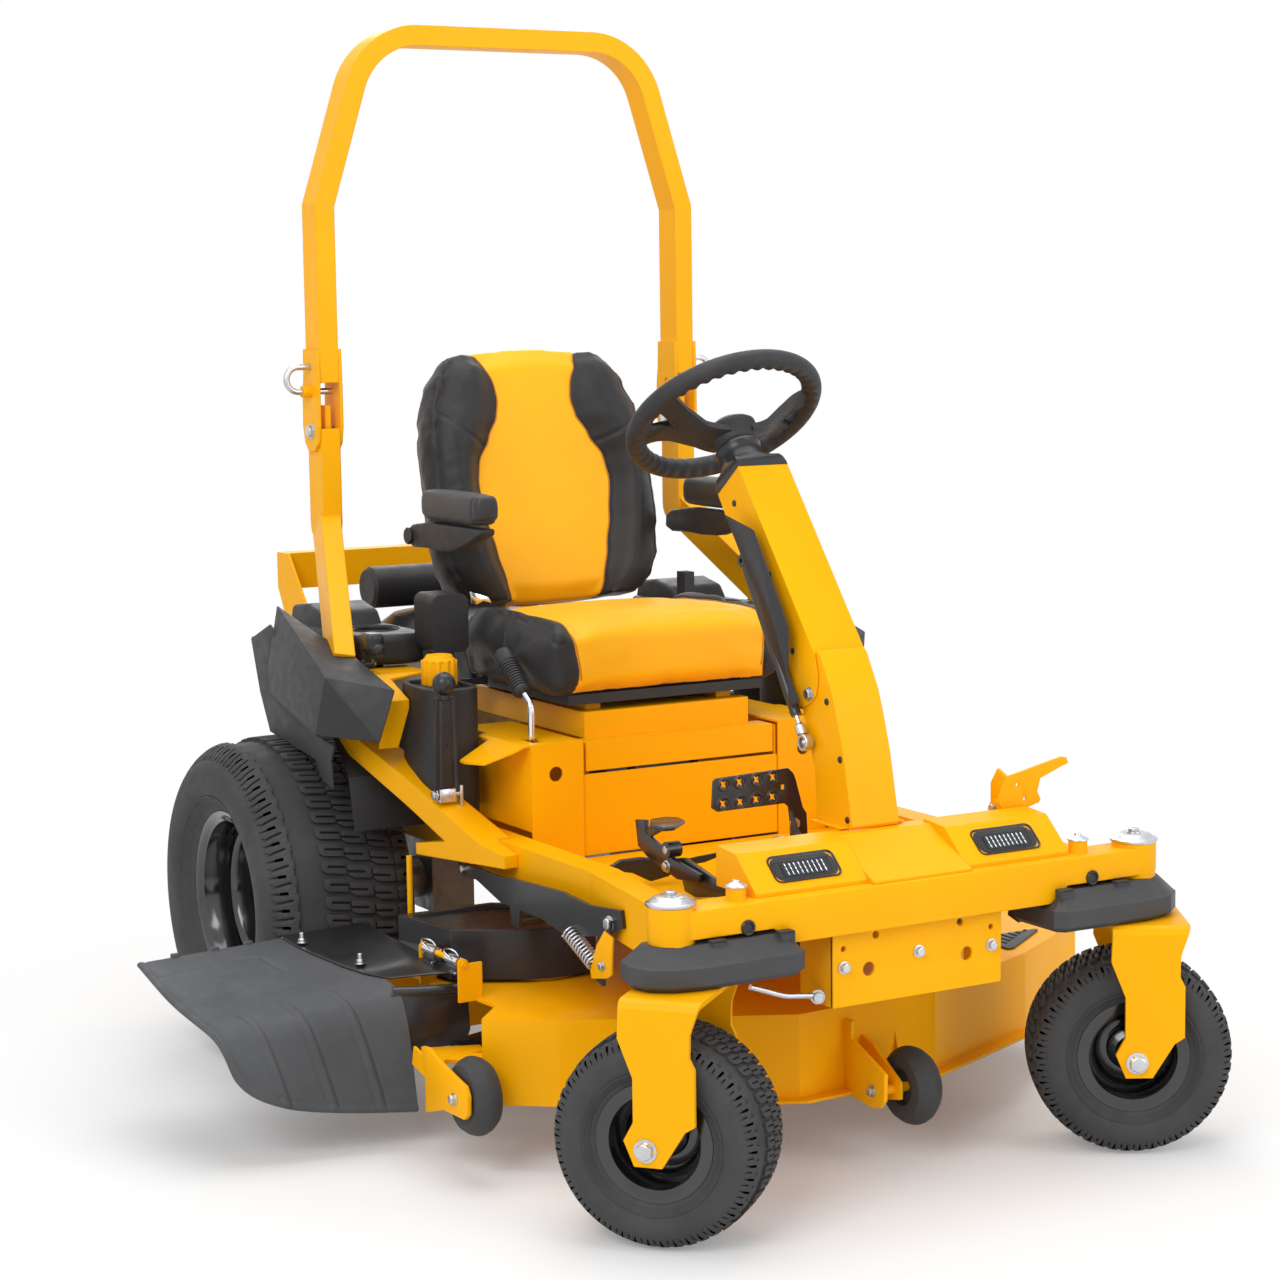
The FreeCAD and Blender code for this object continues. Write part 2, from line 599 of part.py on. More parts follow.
hoop = hoop_face(0.0).extrude(V(0, hoop_deep, 0))
hoop = hoop.cut(placed(hoop_face(4.0).extrude(V(0, hoop_deep - 8, 0)), (0, 4, 0)))
hoop.translate(V(0, hoop_y - hoop_deep / 2, 0))
cheek_side = [(14, 1313), (78, 1313), (80, 1262), (84, 1230), (86, 1170), (78, 1138), (62, 1122), (34, 1122),
              (18, 1138), (12, 1170), (12, 1262)]
cheek_gap = 0.4
for side in (-1, 1):
    for inner in (-half_hoop - 6, half_hoop):
        gap = -cheek_gap if inner < 0 else cheek_gap
        low_x = side * hoop_x + inner
        cheek = prism(cheek_side, "x", low_x, low_x + 6)
        relief = box(low_x - 1, low_x + 7, -50, 150, 1100, hoop_foot - 2)
        moved = placed(cheek.common(relief), (gap, 0, 0))
        hoop = hoop.fuse([cheek.cut(relief), moved])
    out_x = side * (hoop_x + half_hoop + 6)
    boss_end = side * (hoop_x + half_hoop + 24)
    hoop = hoop.fuse(rod((out_x - side * 4, hoop_y, lock_pin_low), (boss_end, hoop_y, lock_pin_low), 11.0))
    for x, z, radius in ((hoop_x - 80, lock_pin_low, 6.0), (hoop_x + 2, lock_pin_high, 6.0),
                         (hoop_x - 80, rops_pivot, 8.0)):
        bore = rod((side * x, hoop_y, z), (side * (hoop_x + 80), hoop_y, z), radius + running)
        hoop = hoop.cut(bore)
save("rops_hoop", hoop)


def lock_pin(side):
    # a bent pin: the lower leg locks the tongue, the upper leg rides in the tube
    loop_x = side * 436.0
    middle = (lock_pin_low + lock_pin_high) / 2
    low = rod((side * (hoop_x - 14), hoop_y, lock_pin_low), (loop_x, hoop_y, lock_pin_low), 6.0)
    high = rod((side * (hoop_x + 8), hoop_y, lock_pin_high), (loop_x, hoop_y, lock_pin_high), 6.0)
    loop_radius = (lock_pin_high - lock_pin_low) / 2
    bend = Part.makeTorus(loop_radius, 6.0, V(loop_x, hoop_y, middle), V(0, 1, 0))
    keep = sorted((loop_x, side * 500.0))
    bend = bend.common(box(*keep, hoop_y - 10, hoop_y + 10, lock_pin_low - 10, lock_pin_high + 10))
    return low.fuse([high, bend])


save("right_lock_pin", lock_pin(-1))
save("left_lock_pin", lock_pin(1))

# ---- engine and drives --------------------------------------------------------------------
crank_case = box(-130, 130, 130, 400, 491.3, 690)
case_edges = [edge for edge in crank_case.Edges if abs(edge.CenterOfMass.z - 590.65) < 1]
crank_case = crank_case.makeFillet(24.0, case_edges)
cylinders = []
for side in (-1, 1):
    head = placed(box(-62, 62, 60, 205, -52, 52), axis=(0, 0, 1), angle=side * 42.0)
    cylinders.append(placed(head, (0, engine_y, 610)))
block = fuse(crank_case, *cylinders)
muffler_radius = 52.0
muffler = rod((-190, 520, 640), (190, 520, 640), muffler_radius)
muffler = muffler.fuse(rod((150, 520, 640), (150, 585, 620), 16.0))
block = block.cut(rod((-200, 520, 640), (200, 520, 640), muffler_radius + 1))
save("engine_block", block, muffler)

fan_foot = (0, engine_y, 700)
fan_cover = turned([(0, 0), (0, 165), (54, 165), (72, 140), (84, 60), (84, 0)], fan_foot, (0, 0, 1))
fan_cover = fan_cover.cut(turned([(-1, 0), (-1, 158), (50, 158), (66, 132), (66, 0)], fan_foot, (0, 0, 1)))
fan_lip = pipe(fan_foot, (0, engine_y, 726), 170.0, 158.0)
fan_cover = fan_cover.fuse(fan_lip)
save("engine_shroud", fan_cover)

filter_can = turned([(0, 0), (0, 36), (8, 42), (300, 42), (312, 36), (312, 0)], (-186, 318, 828), (1, 0, 0))
save("air_filter", filter_can)

drives = []
for side in (-1, 1):
    gear_case = box(-238, -150, -70, 70, 240, 372)
    pump = box(-236, -120, 72, 190, 260, 396)
    drive = gear_case.fuse([pump, rod((-325, 0, rear_radius), (-238, 0, rear_radius), 40.0),
                            box(-238, -160, -40, 60, 372, rail_bottom - 0.3),
                            rod((-180, 130, 396), (-180, 130, 404), 8.0)])
    drive = drive.cut(rod((-330, 0, rear_radius), (-200, 0, rear_radius), 15.0 + running))
    drive = drive.cut(rod((-330, 0, rear_radius), (-312, 0, rear_radius), 24.0))
    drives.append(drive if side < 0 else mirrored(drive))
save("transaxles", drives)

crank = rod((0, engine_y, 372), (0, engine_y, 491), 12.0)
clutch_profile = [(0, 12), (0, 58), (6, 58), (10, 46), (20, 46), (24, 58), (60, 58), (60, 12)]
clutch = turned(clutch_profile, (0, engine_y, 376), (0, 0, 1))
save("clutch_pulley", crank.fuse(clutch))

# ---- steering -----------------------------------------------------------------------------
console_side = [(-882, 1118), (-1118, 838), (-1160, 760), (-1208, 565), (-1204, 562), (-1108, 562),
                (-1108, 640), (-1066, 752), (-860, 1050), (-856, 1092)]
console_core = [(-874, 1124), (-1113, 838), (-1155, 760), (-1203, 561), (-1100, 561), (-1050, 740),
                (-840, 1040), (-840, 1130)]
console = prism(console_side, "x", -console_half, console_half)
console = console.cut(prism(console_core, "x", -console_half + 3, console_half - 3))
console = console.cut(rod((-80, *arm_pivot), (80, *arm_pivot), 6.1))
ball_stud = rod((-console_half, *strut_ball), (strut_x - 1, *strut_ball), 4.0)
ball_stud = ball_stud.fuse(Part.makeSphere(ball_radius, V(strut_x, *strut_ball), V(1, 0, 0)))
save("steering_console", console)

arm_side = [(-866, 1117), (-822, 1074), (-836, 1034), (-1072, 742), (-1090, 738), (-1110, 748), (-1117, 768),
            (-1108, 788), (-900, 1076)]
arm_plate = prism(arm_side, "x", console_half + 0.3, console_half + 3.3)
column_line = V(0, math.sin(math.radians(wheel_tilt)), math.cos(math.radians(wheel_tilt)))


def on_column(distance):
    point = wheel_centre + column_line * distance
    return (point.x, point.y, point.z)


column_tube = pipe(on_column(-330), on_column(-118), 21.0, shaft_radius + running)
arm_inner = console_half + 0.3
arm_web = prism([(-866, 1117), (-822, 1074), (-826, 1070), (-870, 1113)], "x", -arm_inner, arm_inner)
arm_bridge = prism([(-838, 1038), (-834, 1034), (-905, 946), (-909, 950)], "x", -arm_inner, arm_inner)
arm_web = arm_web.cut(rod(on_column(-140), on_column(-60), shaft_radius + 6))
arm = fuse(arm_plate, mirrored(arm_plate), arm_web, arm_bridge, column_tube)
arm = arm.cut(rod((-80, *arm_pivot), (80, *arm_pivot), 6.0 + running))
strut_stud = rod((strut_x + 9, *strut_top), (-console_half - 3, *strut_top), 4.0)
save("column_arm", arm.fuse(strut_stud))

boot_bore = shaft_radius + 1
boot = turned([(-112, boot_bore), (-112, 47), (-88, 47), (-44, 30), (-30, 27), (-30, boot_bore)],
              on_column(0), tuple(column_line))
save("column_boot", boot)

rim_ring = Part.makeTorus(wheel_radius, wheel_grip, V(0, 0, 0), V(0, 0, 1))
wheel_hub = turned([(-26, 0), (-26, 30), (-8, 42), (2, 42), (10, 34), (10, 0)], (0, 0, 0), (0, 0, 1))
wheel_parts = [wheel_hub]
for turn in (28, 152, 208, 332):
    spoke = prism([(20, -26), (90, -17), (156, -24), (156, 24), (90, 17), (20, 26)], "z", -8, 2)
    wheel_parts.append(placed(spoke, angle=turn))
steering_wheel = rim_ring.fuse(wheel_parts)
steering_wheel = placed(steering_wheel, tuple(wheel_centre), (1, 0, 0), -wheel_tilt)
shaft = rod(on_column(-320), on_column(-20), shaft_radius)
save("steering_wheel", steering_wheel.fuse(shaft))

strut_dir = V(0, strut_top[0] - strut_ball[0], strut_top[1] - strut_ball[1]).normalize()


def on_strut(distance):
    point = V(strut_x, *strut_ball) + strut_dir * distance
    return (point.x, point.y, point.z)


strut_length = math.hypot(strut_top[0] - strut_ball[0], strut_top[1] - strut_ball[1])
strut_case = pipe(on_strut(70), on_strut(strut_length - 12), 9.0, 7.0)
strut_eye = rod(on_strut(strut_length - 13), on_strut(strut_length + 9), 9.0)
strut_eye = strut_eye.cut(rod((strut_x - 20, *strut_top), (strut_x + 20, *strut_top), 4.0 + running))
strut_case = strut_case.fuse(strut_eye)
save("strut_cylinder", strut_case)
strut_rod = rod(on_strut(11), on_strut(220), 4.0).fuse(rod(on_strut(210), on_strut(222), 7.0 - running))
strut_ring = pipe((strut_x - 6, *strut_ball), (strut_x + 6, *strut_ball), 14.0, eye_bore)
save("strut_rod", strut_rod.fuse(strut_ring))

# ---- seat ---------------------------------------------------------------------------------
panel_half = 192.0
front_panel = box(-panel_half, panel_half, -606, -602, 584, 634)
panel_step = box(-panel_half, panel_half, -602, -556, 630, 634)
ear = prism([(-606, 590), (-606, 634), (-570, 634), (-570, 600), (-580, 590)],
            "x", panel_half - 3, panel_half)
ear = ear.fuse(rod((panel_half - 3, *seat_pivot), (panel_half, *seat_pivot), 17.0))
riser = box(-169, 169, -560, -556, 634, 680)
seat_plate = box(-169, 169, -556, -130, 676, 680)
riser_side = box(165, 169, -556, -130, 634, 676)
seat_base = fuse(front_panel, panel_step, ear, mirrored(ear), riser, seat_plate, riser_side,
                 mirrored(riser_side))
pivot_stub = rod((panel_half - 3, *seat_pivot), (box_half + 3, *seat_pivot), 6.0)
seat_base = seat_base.fuse([pivot_stub, mirrored(pivot_stub)])
rail_low = box(120, 150, -530, -150, 680, 690)
save("seat_base", seat_base.fuse([rail_low, mirrored(rail_low)]))

seat_pan = box(-200, 200, -560, -150, 694, 712)
slider = box(116, 154, -500, -190, 690.3, 694)
seat_pan = fuse(seat_pan, slider, mirrored(slider))
hinge_side = [(-196, 700), (-150, 700), (-92, 790), (-92, 816), (-132, 816), (-150, 780)]
hinge_cheek = prism(hinge_side, "x", 201, 207)
hinge_cheek = hinge_cheek.fuse(box(190, 202, -196, -150, 700, 712))
hinge_cheek = hinge_cheek.cut(rod((190, *back_pivot), (220, *back_pivot), 7.0 + running))
reel = box(-334, -262.5, -300, -222, 768, 874)
reel_edges = [edge for edge in reel.Edges if abs(edge.CenterOfMass.y + 261) < 1]
reel = reel.makeFillet(16.0, reel_edges)
reel_arm = box(-318, -207, -262, -250, 700, 712).fuse(box(-318, -300, -262, -250, 712, 775))
buckle = box(258.5, 280, -190, -160, 800, 872)
buckle_arm = box(207, 276, -180, -166, 700, 712).fuse(box(262, 276, -180, -166, 712, 800))
pan_whole = fuse(seat_pan, hinge_cheek, mirrored(hinge_cheek), reel_arm, buckle_arm)
save("seat_pan", pan_whole, reel.cut(reel_arm), buckle)

cushion_side = [(-596, 735), (-590, 820), (-560, 842), (-380, 838), (-200, 826), (-200, 712.3),
                (-570, 712.3)]
cushion = prism(cushion_side, "x", -258, 258)
cushion_edges = [edge for edge in cushion.Edges
                 if abs(abs(edge.CenterOfMass.x) - 258) < 0.1 and edge.CenterOfMass.z > 760]
save("seat_cushion", cushion.makeFillet(24.0, cushion_edges))

# The backrest is drawn upright about its hinge: deep side bolsters with a channel between them,
# narrower layers behind.
back_outline = [(196, 22), (238, 100), (246, 180), (242, 330), (206, 452), (140, 516)]
back_outline = back_outline + [(-x, z) for x, z in back_outline[::-1]]
panel_outline = [(88, 10), (108, 60), (122, 150), (128, 260), (104, 350), (100, 420), (124, 540)]
panel_outline = panel_outline + [(-x, z) for x, z in panel_outline[::-1]]


def back_layer(width, front, rear):
    return prism([(x * width, z) for x, z in back_outline], "y", front, rear)


bolsters = back_layer(1.0, -95, -25)
front_edges = [edge for edge in bolsters.Edges if abs(edge.CenterOfMass.y + 95) < 0.1]
bolsters = bolsters.makeFillet(20.0, front_edges).cut(prism(panel_outline, "y", -120, -35))
backrest = bolsters.fuse([back_layer(0.92, -26, 18), back_layer(0.8, 17, 48)])
back_link = prism([(-14, -12), (14, -12), (14, 60), (-14, 60)], "x", 181, 200.5)
back_frame = back_link.fuse(rod((181, 0, 0), (206, 0, 0), 7.0))
arm_stub = rod((230, *arm_rest_local), (309, *arm_rest_local), 7.0)
backrest = backrest.fuse([back_frame, mirrored(back_frame), arm_stub, mirrored(arm_stub)])
save("seat_backrest", placed(backrest, (0, *back_pivot), (1, 0, 0), -back_lean))

lean = math.radians(back_lean)
stub_y = back_pivot[0] + arm_rest_local[0] * math.cos(lean) + arm_rest_local[1] * math.sin(lean)
stub_z = back_pivot[1] - arm_rest_local[0] * math.sin(lean) + arm_rest_local[1] * math.cos(lean)
pad_front = -430.0
pad = box(247, 309, pad_front, -176, 996, 1066)
pad_edges = [edge for edge in pad.Edges if edge.Length > 200 or abs(edge.CenterOfMass.y - pad_front) < 0.1]
pad = pad.makeFillet(14.0, pad_edges)
arm_lever = [(stub_y + 6, stub_z + 17), (stub_y + 6, stub_z - 17), (-190, 955), (-240, 952), (-297, 950),
             (-360, 966), (-418, 986), (-422, 997), (-200, 997)]
lever_plate = prism(arm_lever, "x", 264, 292)
lever_plate = lever_plate.fuse(rod((264, stub_y, stub_z), (292, stub_y, stub_z), 20.0))
lever_plate = lever_plate.cut(rod((240, stub_y, stub_z), (320, stub_y, stub_z), 7.0 + running))
arm_rest = pad.fuse(lever_plate)
save("left_armrest", arm_rest)
save("right_armrest", mirrored(arm_rest))

# ---- pedals and levers --------------------------------------------------------------------
drive_pivot = (-1083.0, 526.0)
pedal_plate = box(-204, -74, -6, 0, 0, 56)
for i in range(4):
    for j in range(2):
        x = -189 + i * 28
        z = 17 + j * 22
        pedal_plate = pedal_plate.cut(rod((x, -10, z), (x, 5, z), 7.0))
pedal_plate = placed(pedal_plate, (0, -1058, 590))
pedal_side = [(-1064, 646), (-1052, 646), (-1052, 600), (-1066, 530), (-1100, 512), (-1100, 538),
              (-1078, 560)]
pedal_arm = prism(pedal_side, "x", -74, -66)
pedal_arm = pedal_arm.fuse(rod((-84, *drive_pivot), (-60, *drive_pivot), 13.0))
pedal_arm = pedal_arm.cut(rod((-110, *drive_pivot), (-40, *drive_pivot), 7.0 + running))
save("forward_pedal", pedal_arm.fuse(pedal_plate))

reverse_pivot = (-1031.0, 526.0)
reverse_side = [(-985, 566), (-960, 570), (-958, 560), (-1000, 546), (-1024, 512), (-1120, 490), (-1124, 502),
                (-1044, 536)]
reverse_arm = prism(reverse_side, "x", -276, -264)
reverse_pad = prism([(-1000, 574), (-948, 582), (-946, 572), (-998, 564)], "x", -300, -236)
reverse_pedal = reverse_arm.fuse([reverse_pad, rod((-282, *reverse_pivot), (-258, *reverse_pivot), 13.0)])
reverse_pedal = reverse_pedal.cut(rod((-300, *reverse_pivot), (-240, *reverse_pivot), 7.0 + running))
save("reverse_pedal", reverse_pedal)

lift_pivot = (-1176.0, 560.0)
lift_pedal_side = [(-1190, 548), (-1160, 548), (-1160, 600), (-1178, 632), (-1204, 628), (-1206, 590)]
lift_bar = bar((265, -1190, 622), (378, -1200, 628), (0, 1, 0), 34, 6)
lift_pedal = prism(lift_pedal_side, "x", 262, 268)
lift_pedal = lift_pedal.fuse([lift_bar, rod((258, *lift_pivot), (272, *lift_pivot), 14.0)])
lift_pedal = lift_pedal.cut(rod((240, *lift_pivot), (300, *lift_pivot), 7.0 + running))
save("lift_pedal", lift_pedal)

brake_pivot = (-506.0, 552.0)
brake_x = -414.0
brake_face = [(brake_x - 19, 540), (brake_x + 19, 540), (brake_x + 15, 722), (brake_x - 15, 722)]
brake_lever = prism(brake_face, "y", -511, -501)
brake_lever = brake_lever.fuse([Part.makeSphere(19.0, V(brake_x, -506, 735)),
                                rod((brake_x - 19, *brake_pivot), (brake_x + 19, *brake_pivot), 12.0)])
brake_bore = rod((brake_x - 40, *brake_pivot), (brake_x + 40, *brake_pivot), 6.0 + running)
brake_lever = brake_lever.cut(brake_bore)
save("parking_lever", brake_lever)

height_pivot = (-559.0, 610.0)
height_x = -273.0
height_stem = rod((height_x, -559, 604), (height_x, -559, 702), 6.0)
height_top = rod((height_x, -559, 700), (height_x, -524, 724), 6.0)
height_grip = rod((height_x, -530, 720), (height_x, -446, 786), 13.0)
height_boss = rod((height_x - 8, *height_pivot), (height_x + 8, *height_pivot), 12.0)
height_lever = height_stem.fuse([height_top, height_grip, height_boss])
height_lever = height_lever.cut(rod((-300, *height_pivot), (-240, *height_pivot), 5.0 + running))
save("height_lever", height_lever)

throttle_pivot = (-246.0, 752.0)
throttle = rod((-440, -246, 752), (-440, -262, 792), 6.0)
throttle_boss = rod((-452, *throttle_pivot), (-428, *throttle_pivot), 9.0)
throttle = throttle.fuse([box(-458, -422, -290, -252, 782, 812), throttle_boss])
throttle = throttle.cut(rod((-470, *throttle_pivot), (-400, *throttle_pivot), 4.0 + running))
save("throttle_lever", throttle)

# fixed pins, bolts and brackets of the frame
under_floor = prism(floor_strip[:len(floor_line)] + [(-613, 300), (-1278.7, 300)], "x", -400, 400)


def floor_stand(x0, x1, y0, y1, top):
    # an upright on the sloping floor
    return box(x0, x1, y0, y1, 420, top).cut(under_floor)


bolts = []
for x, z in ((-140, 376), (140, 376), (0, 384)):
    bolts.append(hex_bolt((x, plate_y, z), (0, -1, 0), 9.0))
pin_in = hoop_x - half_hoop
pin_out = hoop_x + half_hoop
for side in (-1, 1):
    bolts.append(turned([(0, 0), (0, 14.5), (3, 14.5), (4, 0)], (side * boss_x, -1310, 512), (0, 0, 1)))
    pin = rod((side * (pin_in - 12), hoop_y, rops_pivot), (side * (pin_out + 12), hoop_y, rops_pivot), 8.0)
    head_in = hex_bolt((side * (pin_in - 7), hoop_y, rops_pivot), (-side, 0, 0), 12.0, 7.0)
    head_out = hex_bolt((side * (pin_out + 7), hoop_y, rops_pivot), (side, 0, 0), 12.0, 7.0)
    bolts.append(pin.fuse([head_in, head_out]))
    bolts.append(rod((side * 370, *lift_arm_pivot), (side * 410, *lift_arm_pivot), 7.0))
arm_pin = rod((-console_half - 6, *arm_pivot), (console_half + 6, *arm_pivot), 6.0)
bolts.append(arm_pin.fuse([hex_bolt((-console_half - 4, *arm_pivot), (-1, 0, 0), 9.0),
                           hex_bolt((console_half + 4, *arm_pivot), (1, 0, 0), 9.0)]))
drive_pin = rod((-110, *drive_pivot), (-54, *drive_pivot), 7.0)
bolts.append(drive_pin.fuse(floor_stand(-110, -86, -1092, -1074, 536)))
reverse_pin = rod((-310, *reverse_pivot), (-252, *reverse_pivot), 7.0)
bolts.append(reverse_pin.fuse(floor_stand(-310, -290, -1040, -1022, 536)))
lift_pin = rod((250, *lift_pivot), (284, *lift_pivot), 7.0)
bolts.append(lift_pin.fuse(floor_stand(274, 284, -1189, -1163, 570)))
brake_stand = box(-391, -384, -516, -499, 500, 566).cut(strut_beam)
brake_stand = max(brake_stand.Solids, key=lambda solid: solid.CenterOfMass.z)
bolts.append(rod((-436, *brake_pivot), (-384, *brake_pivot), 6.0).fuse(brake_stand))
height_pin = rod((-288, *height_pivot), (-252, *height_pivot), 5.0)
bolts.append(height_pin.fuse(box(-258, -252, -569, -549, 600, side_top - 4)))
throttle_pin = rod((-464, *throttle_pivot), (-424, *throttle_pivot), 4.0)
bolts.append(throttle_pin.fuse(box(-464, -456, -252, -240, 739, 760)))
bolts.append(ball_stud)
save("frame_pins", bolts, caps)

# ---- mowing deck --------------------------------------------------------------------------
deck_plan = [(-512, deck_rear), (-476, -806), (-536, -873), (-436, -949), (-91, -1123), (188, -1108),
             (469, -987), (deck_left, -850), (deck_left, deck_rear)]
deck_inner = [(-540, deck_rear - 8), (-540, -780), (-482, -792), (-468, -804), (-527, -872), (-433, -943),
              (-89, -1117), (186, -1102), (466, -981), (deck_left - skirt, -846),
              (deck_left - skirt, deck_rear - skirt)]
deck = prism(deck_plan, "z", deck_bottom, deck_top)
deck = deck.cut(prism(deck_inner, "z", deck_bottom - 1, deck_top - 6))
flange_inner = [(-440, -944), (-91, -1121), (188, -1106), (469, -985)]
flange_outer = [(469, -1010), (188, -1132), (-91, -1148), (-440, -968)]
flange = prism(flange_inner + flange_outer, "z", deck_bottom, deck_bottom + 5)
deck = deck.fuse(flange)

# gauge wheels at two corners, each on an arm of the deck
right_gauge = (-566.0, -905.0, 138.0)
middle_gauge = (70.0, -1206.0, 130.0)
gauge_half = 24.0
gauge_bore = 8.0
right_arm = bar((-597, -905, 138), (-597, -745, 172), (0, 0, 1), 32, 5)
right_arm = right_arm.fuse(rod((-599.5, -905, 138), (-594.5, -905, 138), 20.0))
right_tie = prism([(-599, -800), (-599, -745), (-575, -745), (-476, -804), (-482, -816), (-530, -832),
                   (-560, -800)], "z", 166, 172)
middle_side = [(-1112, 200), (-1150, 190), (-1226, 144), (-1226, 116), (-1180, 106), (-1112, 116)]
middle_arm = prism(middle_side, "x", 33, 39)
right_axle = rod((-599.5, *right_gauge[1:]), (-538, *right_gauge[1:]), gauge_bore)
middle_axle = rod((33, *middle_gauge[1:]), (98, *middle_gauge[1:]), gauge_bore)
deck = fuse(deck, right_arm, right_tie, middle_arm, right_axle, middle_axle)

# lugs that carry the hinge pin of the chute, and a guide rod
hinge_x, hinge_z = chute_hinge
hinge_pin = rod((hinge_x, -752, hinge_z), (hinge_x, -590, hinge_z), 5.0)
for y, reach in ((-745, 34), (-597, 21)):
    lug = box(hinge_x - 9, hinge_x + reach, y - 3, y + 3, deck_top - 4, hinge_z)
    deck = deck.fuse(lug.fuse(rod((hinge_x, y - 3, hinge_z), (hinge_x, y + 3, hinge_z), 9.0)))
guide_rod = rod((-462, -452, deck_top - 2), (-462, -452, 440), 5.0)
deck = deck.fuse([hinge_pin, guide_rod])
for x, y in spindles.values():
    deck = deck.cut(rod((x, y, 200), (x, y, 300), 31.0))
housings = []
for x, y in spindles.values():
    housing = pipe((x, y, 215), (x, y, 275), 30.5, spindle_radius + running)
    bearing_plate = pipe((x, y, deck_top), (x, y, deck_top + 6), 62.0, spindle_radius + running)
    housings.append(housing.fuse(bearing_plate))
save("deck_shell", deck.removeSplitter(), housings)

gauge_profile = [(-gauge_half, 30), (-gauge_half, gauge_radius - 8), (-gauge_half + 8, gauge_radius),
                 (gauge_half - 8, gauge_radius), (gauge_half, gauge_radius - 8), (gauge_half, 30), (12, 26),
                 (12, gauge_bore + running), (-12, gauge_bore + running), (-12, 26)]
for name, centre in (("right", right_gauge), ("middle", middle_gauge)):
    save(name + "_gauge_wheel", turned(gauge_profile, centre, (1, 0, 0)))

# the two lift arms under the rails, tied by a cross tube
lift_side = [(-530, 436), (-690, 437), (-730, 442), (-905, 451), (-1000, 446), (-1100, 456), (-1106, 428),
             (-1040, 404), (-924, 380), (-840, 393), (-690, 393), (-600, 416), (-530, 416)]
lift_in = 398.5
lift_out = 405.0
cross_y = -740.0
cross_z = 374.0
lift_plate = prism(lift_side, "x", -lift_out, -lift_in)
hanger = prism([(cross_y - 18, 395), (cross_y + 18, 395), (cross_y + 12, 362), (cross_y - 12, 362)],
               "x", -lift_out, -lift_in)
lift_plate = lift_plate.fuse([rod((-lift_out, *lift_arm_pivot), (-lift_in, *lift_arm_pivot), 12.0), hanger])
lift_plate = lift_plate.cut(rod((-420, *lift_arm_pivot), (-380, *lift_arm_pivot), 7.0 + running))
lift_crank = prism([(-1080, 436), (-1044, 436), (-1020, 334), (-1050, 326)], "x", -lift_out - 6, -lift_out)
lift_side_set = lift_plate.fuse(lift_crank)
cross_tube = pipe((-lift_in - 1, cross_y, cross_z), (lift_in + 1, cross_y, cross_z), 12.0, 9.0)
save("lift_arms", fuse(lift_side_set, mirrored(lift_side_set), cross_tube))


def blade_set(name, turn):
    x, y = spindles[name]
    disc = rod((0, 0, 100), (0, 0, 200), blade_radius)
    blade_plan = [(-blade_radius, -30), (-40, -32), (40, -30), (blade_radius, -30), (blade_radius, 30),
                  (40, 32), (-40, 30), (-blade_radius, 30)]
    blade = prism(blade_plan, "z", blade_z, blade_z + 6)
    sail = box(-blade_radius + 6, -100, 12, 30, blade_z + 4, blade_z + 26)
    blade = blade.fuse([sail, placed(sail, angle=180)]).common(disc)
    spindle = rod((0, 0, blade_z - 12), (0, 0, 318), spindle_radius)
    washer = rod((0, 0, blade_z + 6), (0, 0, 214), 18.0)
    groove = [(0, 12), (0, 60), (4, 62), (10, 50), (16, 62), (20, 60), (20, 12)]
    pulley = turned(groove, (0, 0, 282), (0, 0, 1))
    save(name + "_blade", placed(placed(blade.fuse([spindle, washer, pulley]), angle=turn), (x, y, 0)))


blade_set("right", 20.0)
blade_set("centre", 70.0)
blade_set("left", -25.0)

# pressed covers over the belt, open below, and the step plate
cover_wall = 3.0
cover_base = deck_top + 6.3
belt_cover_top = 345.0


def belt_cover(points):
    shell = prism(points, "z", cover_base, belt_cover_top)
    middle_x = sum(p[0] for p in points) / len(points)
    middle_y = sum(p[1] for p in points) / len(points)
    shrunk = []
    for x, y in points:
        reach = math.hypot(x - middle_x, y - middle_y)
        keep = (reach - 2 * cover_wall) / reach
        shrunk.append((middle_x + (x - middle_x) * keep, middle_y + (y - middle_y) * keep))
    return shell.cut(prism(shrunk, "z", cover_base - 1, belt_cover_top - cover_wall))


right_cover = belt_cover([(-498, -479), (-474, -636), (-368, -704), (-322, -720), (-238, -716), (-224, -640),
                          (-234, -545), (-320, -479)])
left_cover = belt_cover([(380, -560), (392, -735), (540, -745), (560, -640), (556, -545), (450, -540)])
step_plan = [(469, -955), (590, -868), (590, -860), (455, -860), (455, -955)]
step_plate = prism(step_plan, "z", deck_top, deck_top + 4)
save("belt_covers", right_cover, left_cover, step_plate)

# discharge chute: a steel hinge plate that carries a rubber deflector
chute_plate = prism(offset_strip([(hinge_x, hinge_z - 20), (-560, 296), (-624, 290)], 4.0), "y", -700, -350)
chute_plate = chute_plate.cut(box(hinge_x - 14, hinge_x + 30, -603, -591, 200, 340))
chute_face = [(-624, 292), (-508, 296), (-492, 286), (-492, 190), (-560, 160), (-624, 168)]
chute_front = prism(chute_face, "y", -704, -700)
knuckles = []
for low in (-735, -648):
    knuckles.append(pipe((hinge_x, low, hinge_z), (hinge_x, low + 44, hinge_z), 9.0, 5.0 + running))
knuckle_web = box(hinge_x - 3, hinge_x, -700, -604, hinge_z - 26, hinge_z - 7)
steel = fuse(chute_plate, chute_front, knuckle_web, *knuckles)
steel = steel.cut(rod((hinge_x, -800, hinge_z), (hinge_x, -300, hinge_z), 5.0 + running))
save("chute_plate", steel)

